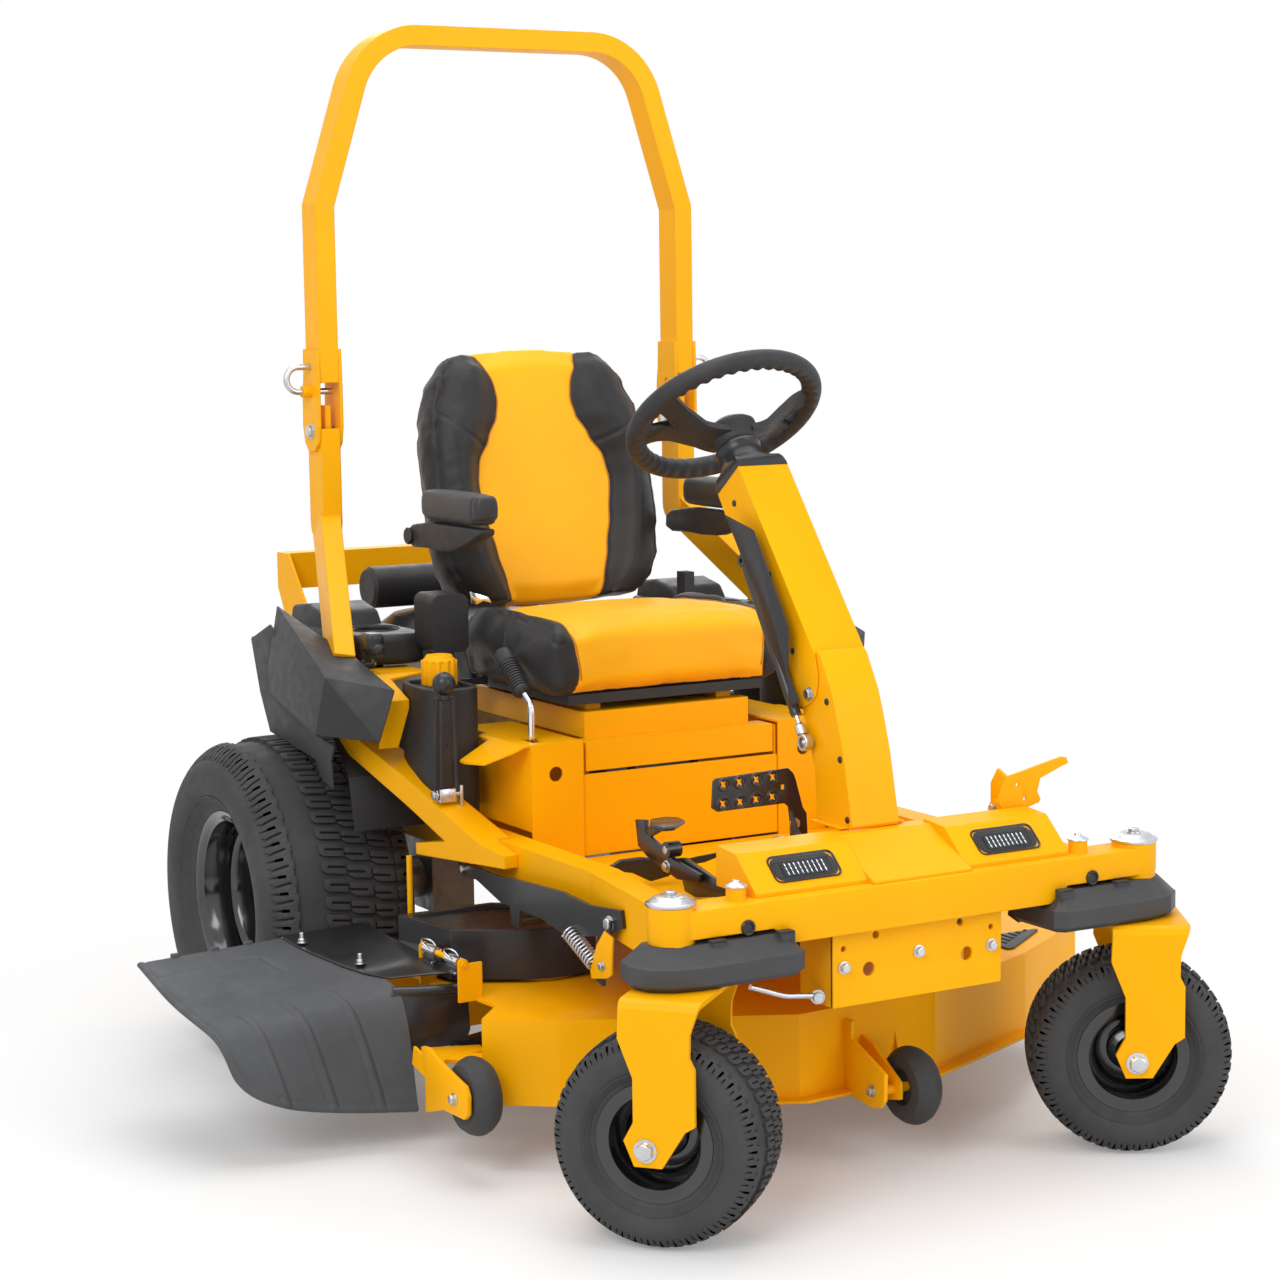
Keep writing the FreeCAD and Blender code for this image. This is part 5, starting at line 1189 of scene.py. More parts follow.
# steering: wheel, boot, folded column cover, console and gas strut
wheelTable = {"centre": (0, -762.5, 1198.7), "tilt": 37.4, "radius": 157.0, "grip": 17.5, "bumps": 42,
              "bumpHeight": 1.5,
              "dish": 46}
wheelLean = math.radians(wheelTable["tilt"])
wheelAxis = (0, math.sin(wheelLean), math.cos(wheelLean))
toWheel = (Matrix.Translation(at(*wheelTable["centre"])) @ Matrix.Rotation(-wheelLean, 4, "X")
           @ Matrix.Translation(-axleShift))


letGo()
bpy.ops.mesh.primitive_torus_add(major_segments=264, minor_segments=28,
                                 major_radius=wheelTable["radius"] / 1000,
                                 minor_radius=wheelTable["grip"] / 1000, location=axleShift)
rim = settle(named("steeringRim"))
for vertex in rim.data.vertices:  # finger grips along the inner and lower side
    place = vertex.co - axleShift
    turn = math.atan2(place.y, place.x)
    middle = Vector((math.cos(turn), math.sin(turn), 0)) * wheelTable["radius"] / 1000
    out = (place - middle).normalized()
    inner = max(0.0, -out.x * math.cos(turn) - out.y * math.sin(turn) - out.z * 0.5)
    wave = 0.5 + 0.5 * math.cos(turn * wheelTable["bumps"])
    press = wheelTable["bumpHeight"] * 2.4 * (1 - wave) * min(1.0, inner * 1.5)
    vertex.co = axleShift + middle + out * (wheelTable["grip"] - 1.2 + (1.2 - press)) / 1000
smooth(rim, 60)
webs = []
for side in (-1, 1):
    webLine = [(22, -34), (60, -30), (96, -42), (128, -66), (146, -76), (156, -52), (160, 0), (156, 52),
               (146, 76), (128, 66), (96, 42), (60, 30), (22, 34)]
    web = plate("steeringWeb%d" % side, [(side * x, y) for x, y in webLine], "z", -9, 3)
    hole = plate("steeringGap%d" % side, [(side * 92, 0), (side * 140, -26), (side * 144, 0),
                                          (side * 140, 26)], "z", -30, 30, 4.0, 3)
    web = cutBy(web, hole)
    modify(web, "SUBSURF", levels=2, render_levels=2, subdivision_type="SIMPLE")
    for vertex in web.data.vertices:
        x, y, z = mmBack(vertex.co)
        reach = math.hypot(x, y)
        vertex.co = at(x, y, z - wheelTable["dish"] * (1 - ease(30, 138, reach))
                       + 0.0007 * y * y * ease(140, 50, reach))
    webs.append(smooth(softEdges(web, 2.4, 3, 40), 50))
hubProfile = [(-66, 0), (-66, 33), (-62, 36), (-52, 37), (-42, 41), (-36, 45), (-30, 45), (-25, 40),
              (-22, 32), (-22, 0)]
hub = lathe("steeringHub", hubProfile, (0, 0, 0), (0, 0, 1), 64)
cap = lathe("steeringCap", [(-24, 0), (-24, 29), (-21, 31), (-18, 29), (-16, 20), (-15, 0)], (0, 0, 0),
            (0, 0, 1), 48)
wheel = joined("steeringWheel", [rim, hub, cap] + webs)
wheel.data.transform(toWheel)
finished(wheel, "wheel", gripRubber, "rubber", "steering_wheel")
shaftPiece = lathe("steeringShaft", [(-320, 0), (-320, 11.9), (-70, 11.9), (-69, 18), (-60, 18), (-60, 0)],
                   wheelTable["centre"], wheelAxis, 32)
finished(shaftPiece, "wheel", blackPaint, "black_paint")

boot = lathe("columnBoot", [(-137, 14), (-137, 60), (-130, 60), (-120, 58), (-112, 54), (-106, 46),
                            (-100, 40), (-92, 38), (-84, 37), (-78, 38), (-73, 40), (-69, 39), (-67, 34),
                            (-67, 14)], (0, 0, 0), (0, 0, 1), 96)
for vertex in boot.data.vertices:  # square at the column, round at the shaft
    x, y, z = mmBack(vertex.co)
    reach = math.hypot(x, y)
    square = ease(-98, -114, z)
    if reach > 20 and square > 0:
        corner = max(abs(x) / 49.5, abs(y) / 42.0) * 60 / reach
        grow = (1 - square) + square / max(0.001, corner)
        vertex.co = at(x * grow, y * grow - 8 * square, z)
boot.data.transform(toWheel)
finished(smooth(boot, 40), "column", smoothPlastic, "rubber", "column_boot")

coverSide = [(-884, 1121), (-1110, 830), (-1117, 800), (-1117, 784), (-1113, 766), (-1100, 752), (-1080, 742),
             (-1060, 740), (-1046, 748), (-1036, 766), (-1031, 790), (-1030, 866), (-928, 1018), (-842, 1037),
             (-818, 1072)]


def foldedSheet(name, outline, half, thick, keep, edge, segments=4):
    # side walls and the folds between them; faces that the test drops stay open
    piece = plate(name, outline, "x", -half, half)
    openUp(piece)
    pickFaces(piece, lambda c, n: abs(n.x) < 0.5 and not keep(mmBack(c), n))
    bpy.ops.mesh.delete(type="FACE")
    shut(piece)
    modify(piece, "SOLIDIFY", thickness=thick / 1000, offset=-1.0)
    return smooth(softEdges(piece, edge, segments, 50), 40)


cover = foldedSheet("columnCover", coverSide, 48.6, 3.0,
                    lambda c, n: n.y < -0.3 and c[2] > 838 or c[2] > 1090 and n.z > 0.2, 2.6)
armWeb = plate("columnWeb", [(-866, 1112), (-826, 1072), (-830, 1066), (-870, 1106)], "x", -45, 45, 1.0)
columnTube = lathe("columnTube", [(-330, 12.2), (-330, 21), (-118, 21), (-118, 12.2)], wheelTable["centre"],
                   wheelAxis, 40)
clipProfile = [(-2, 0), (-2, 3.5), (0.2, 5.6), (1.2, 5.6), (2.4, 4.2), (2.8, 0)]


def pressClips(name, spots, half):  # one on each side of a folded sheet, at each (y, z)
    return [lathe("%s%d%d" % (name, y, side), clipProfile, (side * half, y, z), (side, 0, 0), 20)
            for y, z in spots for side in (-1, 1)]


studs = pressClips("coverClip", ((-872, 1058), (-978, 947), (-1046, 829)), 48.6)
finished(joined("columnCover", [cover, armWeb, columnTube]), "column", yellowPaint, "yellow_paint",
         "column_arm")
finished(joined("columnClips", studs), "column", smoothPlastic, "black_plastic")
backCover = [(-826, 1050), (-838, 1030), (-866, 992), (-932, 905), (-970, 834), (-1019, 774), (-1030, 735),
             (-1044, 738), (-1050, 790), (-1048, 862), (-946, 1012), (-862, 1034), (-838, 1060)]
strip = plate("columnBack", backCover, "x", -44, 44, 2.5, 3)
strutGuardLine = [(-881, 1040), (-912, 1001), (-978, 912), (-1016, 841), (-1066, 781), (-1075, 743),
                  (-1101, 756), (-1069, 798), (-1070, 872), (-968, 1021)]
strutGuard = plate("strutGuard", strutGuardLine, "x", -73.5, -71, 0.8)
strip = joined("columnBack", [strip, strutGuard])
finished(strip, "column", smoothPlastic, "black_plastic")
print("column ready")

consoleSide = [(-1112, 836), (-1121, 828), (-1152, 774), (-1165, 740), (-1184, 680), (-1209, 566),
               (-1206, 561), (-1108, 561), (-1104, 640), (-1064, 752), (-1050, 800), (-1058, 838)]
console = foldedSheet("steeringConsole", consoleSide, 45.0, 3.0, lambda c, n: n.y < -0.2, 5.0, 5)
tabs = [plate("consoleFoot%d" % side, [(-1200, 562), (-1112, 562), (-1112, 565), (-1200, 565)], "x",
              *sorted((side * 44, side * 62)), 0.8)
        for side in (-1, 1)]
clips = pressClips("consoleClip", ((-1139, 757), (-1176, 669), (-1196, 575)), 45)
finished(joined("steeringConsole", [console] + tabs), "chassis", yellowPaint, "yellow_paint",
         "steering_console")
finished(joined("consoleClips", clips), "chassis", smoothPlastic, "black_plastic")

strutTable = {"ball": (-60, -1099, 688), "top": (-60, -921, 967)}
strutAim = (Vector(strutTable["top"]) - Vector(strutTable["ball"])).normalized()
strutLong = (Vector(strutTable["top"]) - Vector(strutTable["ball"])).length


case = lathe("strutCase", [(48, 4.4), (48, 8.4), (50, 9), (104, 9), (strutLong - 16, 9),
                           (strutLong - 12, 7.4), (strutLong - 6, 7),
                           (strutLong - 6, 0), (49, 0)], strutTable["ball"], strutAim, 32)
case = joined("strutCase",
              [case, lathe("strutEye", [(-8, 4.2), (-8, 10), (-7, 11), (7, 11), (8, 10), (8, 4.2)],
                           strutTable["top"], (1, 0, 0), 32)])
finished(case, "strut_case", blackPaint, "black_paint", "strut_cylinder")
socket = lathe("strutSocket", [(13, 0), (13, 8), (15, 9.4), (29, 9.4), (31, 7), (34, 5.6), (34, 0)],
               strutTable["ball"], strutAim, 32)
socketRing = lathe("strutRing", [(-7, 9.2), (-7, 13), (-5.6, 14), (5.6, 14), (7, 13), (7, 9.2)],
                   strutTable["ball"], (1, 0, 0), 32)
stem = lathe("strutStem", [(30, 0), (30, 4), (86, 4), (86, 0)], strutTable["ball"], strutAim, 24)
finished(joined("strutSocket", [socket, socketRing]), "strut_stem", zinc, "steel", "strut_rod")
finished(stem, "strut_stem", chrome, "chrome")
print("steering ready")

# fender mouldings, consoles, tanks and hand levers
coverEdge = [(-528, -51, 846), (-500, -146, 803), (-476, -247, 774), (-471, -430, 727), (-502, -430, 639),
             (-575, -325, 646), (-550, -61, 688), (-550, -52, 732), (-545, -60, 774)]
coverRidge = (-566, -350, 748)
fender = ring("fenderCover", [at(*point) for point in coverEdge])
openUp(fender)
bpy.ops.mesh.select_all(action="SELECT")
bpy.ops.mesh.poke()
shut(fender)
fender.data.vertices[len(coverEdge)].co = at(*coverRidge)
modify(fender, "SOLIDIFY", thickness=0.004, offset=-1.0)
openUp(fender)
shut(fender, outward=True)
smooth(softEdges(fender, 1.6, 3, 12), 30)
wall = plate("fenderWall", [(48, 778), (-46, 813), (-86, 794), (-58, 690), (-244, 634), (-329, 624),
                            (-313, 594), (-319, 546), (-274, 554), (-241, 589), (-33, 612), (11, 682)], "x",
                            -545, -541, 1.2)
liner = plate("fenderLiner", [(-110, 733), (-215, 640), (-300, 560), (-322, 465), (-317, 465), (-295, 563),
                              (-210, 644), (-104, 737)], "x", -505, -349, 1)
roof = plate("fenderRoof", [(53, 781), (-60, 781), (-190, 702), (-188, 698), (-59, 777), (53, 777)], "x",
             -541, -470, 1)
fender = smooth(joined("fenderCover", [fender, wall, liner, roof]), 30)
fender = joined("fenderCover", [fender, mirroredOver(fender, "fenderCoverLeft")])
finished(fender, "chassis", softPlastic, "black_plastic", "fender_covers")

shelfPlan = [(-452, -190), (-436, -212), (-360, -232), (-318, -226), (-304, -190), (-304, 100), (-320, 114),
             (-436, 116), (-452, 90)]
shelf = plate("sideConsole", shelfPlan, "z", 744, 800)
softEdges(shelf, 12, 5, 60)
cutBy(shelf, lathe("cupDrill", [(-40, 0), (-40, 37), (20, 39), (20, 0)], (-372, -130, 790), (0, 0, 1), 48))
cup = lathe("cupWell", [(-42, 0), (-42, 36), (4, 39), (10, 42), (13, 44), (10, 47), (6, 44), (-45, 39),
                        (-45, 0)], (-372, -130, 790), (0, 0, 1), 48)
hump = plate("consoleHump", [(-60, 790), (-30, 826), (30, 838), (100, 830), (112, 790)], "x", -440, -318, 9,
             4)
shelf = smooth(joined("sideConsole", [shelf, cup, hump]), 40)
shelf = joined("sideConsole", [shelf, mirroredOver(shelf, "sideConsoleLeft")])
finished(shelf, "chassis", softPlastic, "black_plastic", "side_consoles")

tankTable = {"centre": (-374, -406), "long": 80, "wide": 52, "low": 505, "top": 730}
tankPlan = []
for k in range(32):
    turn = k * math.tau / 32
    reach = (abs(math.cos(turn)) ** 3.2 + abs(math.sin(turn)) ** 3.2) ** (-1 / 3.2)
    tankPlan.append((tankTable["centre"][0] + tankTable["wide"] * reach * math.cos(turn),
                     tankTable["centre"][1] + tankTable["long"] * reach * math.sin(turn)))
tank = plate("fuelTank", tankPlan, "z", tankTable["low"], 716)
openUp(tank)
pickFaces(tank, lambda c, n: n.z > 0.9)
for inward, deep in ((0.0, 0.004), (-0.003, 0.001), (0.0, 0.007), (0.004, 0.002), (0.007, 0.0),
                     (0.002, -0.009), (0.010, -0.001)):
    if inward > 0:
        bpy.ops.mesh.inset(thickness=inward, depth=deep)
    else:
        bpy.ops.mesh.extrude_region_shrink_fatten(TRANSFORM_OT_shrink_fatten={"value": deep})
shut(tank, outward=True)
softEdges(tank, 1.5, 3, 30)
neck = lathe("tankNeck", [(0, 0), (0, 34), (6, 34), (8, 32), (8, 0)], (-372, -402, 720), (0, 0, 1), 40)
tank = smooth(joined("fuelTank", [tank, neck]))
tank = joined("fuelTank", [tank, mirroredOver(tank, "fuelTankLeft")])
finished(tank, "chassis", softPlastic, "black_plastic", "fuel_tanks")
capPlan = [(-372 + r * math.cos(a), -402 + r * math.sin(a)) for k in range(12)
           for step, r in ((-0.34, 27.5), (-0.2, 32), (0.2, 32), (0.34, 27.5))
           for a in [(k + step) * math.tau / 12]]
cap = plate("tankCap", capPlan, "z", 728, 772, 1.1, 2, 30)
crown = lathe("capCrown", [(0, 0), (0, 29), (4, 28), (6, 25), (9, 24), (11, 22), (11, 14), (8, 12), (8, 0)],
              (-372, -402, 770), (0, 0, 1), 40)
cap = smooth(joined("tankCap", [cap, crown]))
cap = joined("tankCap", [cap, mirroredOver(cap, "tankCapLeft")])
finished(cap, "chassis", yellowPaint, "yellow_paint")

handle = plate("parkingLever", [(-437, 554), (-391, 554), (-395, 722), (-433, 722)], "y", -512, -504)
openUp(handle)
pickFaces(handle, lambda c, n: n.y < -0.9)
for inward, deep in ((0.004, 0.0), (0.0015, -0.0025), (0.005, 0.0), (0.0015, 0.0025)):
    bpy.ops.mesh.inset(thickness=inward, depth=deep)
shut(handle)
softEdges(handle, 0.7)
leverFoot = plate("leverFoot", [(-516, 538), (-496, 538), (-498, 562), (-514, 562)], "x", -430, -398, 2)
knob = lathe("leverKnob", [(-28, 0), (-28, 9), (-20, 9), (-19, 5)]
             + [(20 * math.sin(a), 20 * math.cos(a)) for a in (math.radians(-75 + 15 * k) for k in range(11))]
             + [(20, 0)],
             (-414, -507, 745), (0, 0, 1), 40)
finished(smooth(joined("parkingLever", [handle, knob])), "parking", smoothPlastic, "black_plastic",
         "parking_lever")
finished(joined("parkingFoot", [leverFoot, bolt("parkingBolt", (-433, -506, 552), (-1, 0, 0), 8, 5)]),
         "parking", zinc, "steel")
grip = lathe("heightGrip", [(0, 0), (0, 12), (3, 15)]
             + [(6 + k * 6 + step, r) for k in range(11)
                for step, r in ((0, 16.6), (2.6, 16.6), (3.4, 14.4), (5.2, 14.4))]
             + [(74, 16.4), (90, 17.4), (100, 15), (105, 10), (108, 0)], (-273, -531, 719), (0, 84, 66), 32)
finished(grip, "height", gripRubber, "rubber", "height_lever")
heightStem = bendTube("heightStem", [(-273, -559, 604), (-273, -559, 660), (-273, -560, 700),
                                     (-273, -548, 711), (-273, -528, 722)], 5.8)
heightHub = lathe("heightHub", [(-281, 5.2), (-281, 12), (-265, 12), (-265, 5.2)], (0, -559, 610), (1, 0, 0),
                  32)
finished(joined("heightStem", [heightStem, heightHub]), "height", chrome, "chrome")
throttleStem = rodPiece("throttleStem", (-440, -246, 752), (-440, -262, 792), 6)
throttleHub = lathe("throttleHub", [(-452, 4.2), (-452, 9), (-428, 9), (-428, 4.2)], (0, -246, 752),
                    (1, 0, 0), 32)
throttleKnob = block("throttleKnob", (-458, -292, 778), (-424, -250, 812), 9, 5)
throttleNose = block("throttleNose", (-452, -306, 772), (-430, -272, 794), 7, 4)
finished(smooth(joined("throttleLever", [throttleStem, throttleHub, throttleKnob, throttleNose]), 60),
         "throttle", smoothPlastic, "black_plastic", "throttle_lever")
tongue = plate("beltTongue", [(-217, 867), (-180, 855), (-173, 843), (-190, 848), (-204, 842), (-214, 846)],
               "y", -217, -214, 0.8)
finished(tongue, "seat", chrome, "chrome")
print("mouldings and levers ready")

# front beam with its caps, guards, lamps and drilled plate
frontTable = {"front": -1345, "back": -1279, "top": 502, "pivot": 438, "cap": 38.5, "lampTilt": 41.9}
beamFace = [(-438, 502), (438, 502), (438, 458), (278, 458), (243, 432), (-243, 432), (-278, 458),
            (-438, 458)]
beam = [plate("frontBeam", beamFace, "y", frontTable["front"], -1340, 2.4, 3),
        plate("beamTop", [(-438, -1342), (438, -1342), (438, -1279), (-438, -1279)], "z", 497, 502, 1.6),
        plate("beamBack", [(-438, 501), (438, 501), (438, 436), (-438, 436)], "y", -1284, -1279, 1.2)]
for side in (-1, 1):
    tube = [(0, 24), (0, 34), (1, 35), (68, 35), (70, 36), (116, 36), (118, 34), (118, 24)]
    beam.append(lathe("pivotTube%d" % side, tube, (side * frontTable["pivot"], casterY, 392), (0, 0, 1), 64))
    beam.append(lathe("beamBoss%d" % side, [(0, 0), (0, 17), (3, 15.5), (20, 15), (21, 14), (21, 0)],
                      (side * 324, -1310, 501), (0, 0, 1), 40))
holes = [(-93, 368, 11), (93, 368, 11), (-140, 405, 4.5), (140, 405, 4.5), (-80, 420, 6), (80, 420, 6)]
drilled = plate("drilledPlate", [(-160, 436), (160, 436), (160, 314), (-160, 314)], "y", -1324, -1318)
cutBy(drilled, joined("plateDrill", [rodPiece("plateDrill%d" % i, (x, -1330, z), (x, -1310, z), r, 0)
                                     for i, (x, z, r) in enumerate(holes)]))
flanges = [plate("plateSide%d" % side, [(-1323, 436), (-1323, 314), (-1240, 314), (-1232, 322), (-1232, 436)],
                 "x", *sorted((side * 160, side * 154)), 1.2)
           for side in (-1, 1)]
finished(joined("frontBeam", beam + [softEdges(drilled, 0.9)] + flanges), "chassis", yellowPaint,
         "yellow_paint", "front_beam")
caps = []
for side in (-1, 1):
    dome = [(-4, 0), (-4, 37), (-2, frontTable["cap"]), (1, frontTable["cap"]), (2.5, 37), (3, 33), (4, 31),
            (8, 28), (10, 22), (10.5, 12), (10.5, 0)]
    caps.append(lathe("pivotCap%d" % side, dome, (side * frontTable["pivot"], casterY, 512), (0, 0, 1), 72,
                      40))
    caps.append(bolt("capBolt%d" % side, (side * frontTable["pivot"], casterY, 522), (0, 0, 1), 9, 5))
    caps.append(lathe("bossCap%d" % side, [(0, 0), (0, 16), (1, 17.5), (3, 17), (6, 11), (8, 6), (11, 5),
                                           (11, 0)], (side * 324, -1310, 521.5), (0, 0, 1), 40))
    caps.append(bolt("plateBolt%d" % side, (side * 140, -1324, 376), (0, -1, 0), 8, 7))
finished(joined("pivotCaps", caps), "chassis", zinc, "steel")
eyes = []
for side in (-1, 1):
    eyes.append(lathe("beamEye%d" % side, [(-2, 0), (-2, 12), (2.5, 12), (4, 10.5), (3.5, 8), (1, 7), (1, 0)],
                      (side * 325, -1345, 466), (0, -1, 0), 32))
finished(joined("beamEyes", eyes), "chassis", smoothPlastic, "black_plastic")

guardPlan = [(-235, -1258), (-235, -1362), (-252, -1376), (-420, -1380), (-468, -1370), (-500, -1344),
             (-510, -1310), (-502, -1272), (-480, -1258)]
guard = plate("beamGuard", guardPlan, "z", 397, 424)
openUp(guard)
for upward, steps in ((1, ((0.005, 0.004), (0.024, 0.024))), (-1, ((0.009, 0.008),))):
    pickFaces(guard, lambda c, n: n.z * upward > 0.9)
    for inward, deep in steps:
        bpy.ops.mesh.inset(thickness=inward, depth=deep)
shut(guard, outward=True)
softEdges(guard, 3.2, 4, 25)
lugs = []
for x, y in ((-381, -1349), (-264, -1352)):
    lug = block("guardLug%d" % x, (x - 13, y - 9, 436), (x + 13, y + 8, 456))
    openUp(lug)
    pickFaces(lug, lambda c, n: n.y < -0.9)
    bpy.ops.mesh.inset(thickness=0.004, depth=-0.005)
    lugs.append(smooth(softEdges(shut(lug), 1.4)))
guard = smooth(joined("beamGuard", [guard] + lugs))
guard = joined("beamGuard", [guard, mirroredOver(guard, "beamGuardLeft")])
finished(guard, "chassis", guardPlastic, "grey_plastic", "beam_guards")


def lampPlate(name, long, high, low, top, rise):  # a rounded block on the tilted lamp face
    corners = [(sx * (long - 11) + 11 * math.cos(turn), sy * (high - 11) + 11 * math.sin(turn))
               for sx, sy, start in ((1, 1, 0), (-1, 1, 90), (-1, -1, 180), (1, -1, 270))
               for turn in (math.radians(start + 22.5 * k) for k in range(5))]
    piece = ring(name, [Vector((x / 1000, y / 1000, low / 1000)) for x, y in corners])
    pullAll(piece, (0, 0, (top - low) / 1000))
    if rise:
        pickFaces(piece, lambda c, n: n.z > 0.9)
        bpy.ops.mesh.inset(thickness=0.0075, depth=rise / 1000)
    return softEdges(shut(piece, outward=True), 1.2, 3)


lampTurn = Matrix.Rotation(math.radians(frontTable["lampTilt"]), 4, "X")
lampPlace = Matrix.Translation(at(-191, -1293, 534)) @ lampTurn
bezel = smooth(lampPlate("lampBezel", 60, 25, -16, 3.4, -7))
cells = lampPlate("lampCells", 50, 16, -12, -3.0, 0)
letGo()
bpy.ops.mesh.primitive_grid_add(x_subdivisions=9, y_subdivisions=3, size=2)
mirrors = named("lampMirrors")
openUp(mirrors)
bpy.ops.mesh.select_all(action="SELECT")
bpy.ops.mesh.inset(thickness=0.035, depth=-0.5, use_individual=True)
shut(mirrors)
for vertex in mirrors.data.vertices:
    vertex.co = (vertex.co.x * 0.038, vertex.co.y * 0.0115, -0.0012 + vertex.co.z * 0.006)
for piece in (bezel, cells, mirrors):
    piece.data.transform(lampPlace)
for piece, name, material, slot in ((bezel, "lampBezel", smoothPlastic, "black_plastic"),
                                    (cells, "lampCells", softPlastic, "black_plastic"),
                                    (mirrors, "lampMirrors", chrome, "chrome")):
    pair = joined(name, [piece, mirroredOver(piece, name + "Left")])
    if name == "lampBezel":
        finished(pair, "chassis", material, slot, "headlamps")
    else:
        finished(pair, "chassis", material, slot)
rod = bendTube("tieRod", [(-294, -1300, 362), (-258, -1300, 349), (-232, -1300, 339), (-204, -1300, 336),
                          (-182, -1300, 333)], 4.5)
rodEnd = bolt("tieRodEnd", (-172, -1300, 330), (-0.5, -1, 0), 9, 8)
finished(joined("tieRod", [rod, rodEnd]), "chassis", zinc, "steel")
print("front ready")

# pedals
pedalOutline = [(-210, 634), (-205, 638), (-69, 642), (-59, 633), (-55, 624), (-41, 575), (-34, 565),
                (-32, 526), (-34, 519), (-60, 522), (-64, 529), (-65, 556), (-68, 578), (-76, 585),
                (-203, 584), (-213, 591)]
starSpots = [(-191, 627), (-161, 628), (-129, 629), (-98, 630), (-192, 596), (-160, 596), (-130, 597),
             (-99, 598)]
step = plate("forwardPedal", pedalOutline, "y", -1062, -1057)


def starTool(name, x, z):
    points = [(x + r * math.cos(a), z + r * math.sin(a)) for k in range(8)
              for r, a in [((9.5, 3.6)[k % 2], math.radians(45 + 45 * k))]]
    return plate(name, points, "y", -1070, -1050)


tools = [starTool("pedalStar%d" % i, x, z) for i, (x, z) in enumerate(starSpots)]
cutBy(step, joined("pedalStars", tools + [block("pedalSlot", (-83, -1070, 608), (-75, -1050, 616))]))
burrs = [lathe("pedalBurr%d" % i, [(0, 10.2), (0, 12), (1.6, 11.4), (3, 10.6), (3, 10)], (x, -1061.5, z),
               (0, -1, 0), 24) for i, (x, z) in enumerate(starSpots)]
boss = lathe("pedalHub", [(-74, 7.2), (-74, 13), (-62, 13), (-62, 7.2)], (0, -1083, 526), (1, 0, 0), 32)
arm = plate("pedalArm", [(-1060, 575), (-1060, 522), (-1092, 514), (-1096, 530), (-1076, 548)], "x", -66, -61,
            0.8)
bar = plate("pedalBar", [(-49, 529), (-49, 517), (-91, 506), (-134, 494), (-158, 478), (-178, 471),
                         (-187, 478), (-169, 486), (-121, 503)], "y", -1068, -1063, 1.2)
for vertex in bar.data.vertices:  # the bar runs back as it goes out to the wing
    vertex.co.y -= (vertex.co.x - at(-49, 0, 0).x) * 1.1
wing = plate("pedalWing", [(-314, 480), (-292, 490), (-254, 490), (-228, 485), (-194, 484), (-171, 475),
                           (-202, 452), (-236, 447), (-270, 465), (-307, 473)], "y", -906, -896, 3.2, 3)
finished(joined("forwardPedal", [softEdges(step, 0.8), boss, arm, bar, wing] + burrs), "forward", blackPaint,
         "black_paint", "forward_pedal")
finished(bolt("forwardBolt", (-58, -1062, 550), (0, -1, 0), 7.5, 5), "forward", zinc, "steel")
strap = plate("reversePedal", [(-923, 558), (-931, 516), (-960, 503), (-1054, 482), (-1120, 488),
                               (-1124, 502), (-1044, 512), (-1009, 524), (-955, 541),
                               (-955, 562)], "x", -276, -268, 1.2)
heel = plate("reversePad", [(-292, -1000), (-261, -995), (-246, -1012), (-250, -1040), (-292, -1078),
                            (-312, -1076), (-316, -1040)], "z", 566, 573, 2.6, 3)
heelStem = plate("reverseStem", [(-1000, 567), (-985, 566), (-955, 545), (-968, 536), (-1004, 552)], "x",
                 -275, -268, 1)
hub = lathe("reverseHub", [(-282, 7.2), (-282, 13), (-258, 13), (-258, 7.2)], (0, -1031, 526), (1, 0, 0), 32)
finished(joined("reversePedal", [strap, heel, heelStem, hub]), "reverse", blackPaint, "black_paint",
         "reverse_pedal")
finished(bolt("reverseBolt", (-276, -1026, 498), (-1, 0, 0), 8, 5), "reverse", zinc, "steel")
brace = plate("pedalBrace", [(-1036, 512), (-1058, 462), (-1092, 458), (-1176, 474), (-1196, 486),
                             (-1180, 492), (-1060, 516)], "x", -264, -257, 1)
finished(brace, "chassis", blackPaint, "black_paint")
liftShape = [(265, 616), (251, 592), (246, 575), (255, 558), (266, 553), (300, 559), (329, 566), (333, 572),
             (326, 585), (332, 606), (376, 622), (390, 626), (386, 636), (376, 638), (316, 626), (303, 623)]
lift = plate("liftPedal", liftShape, "y", -1203, -1198)
cutBy(lift, joined("liftDrill", [rodPiece("liftDrill%d" % x, (x, -1210, z), (x, -1190, z), 3.2, 0)
                                 for x, z in ((285, 600), (300, 575))]))
liftSide = plate("liftSide", [(-1200, 548), (-1160, 548), (-1160, 600), (-1178, 626), (-1200, 616)], "x", 262,
                 268, 1)
liftHub = lathe("liftHub", [(258, 7.2), (258, 14), (272, 14), (272, 7.2)], (0, -1176, 560), (1, 0, 0), 32)
finished(joined("liftPedal", [softEdges(lift, 1), liftSide, liftHub]), "lift_foot", yellowPaint,
         "yellow_paint", "lift_pedal")

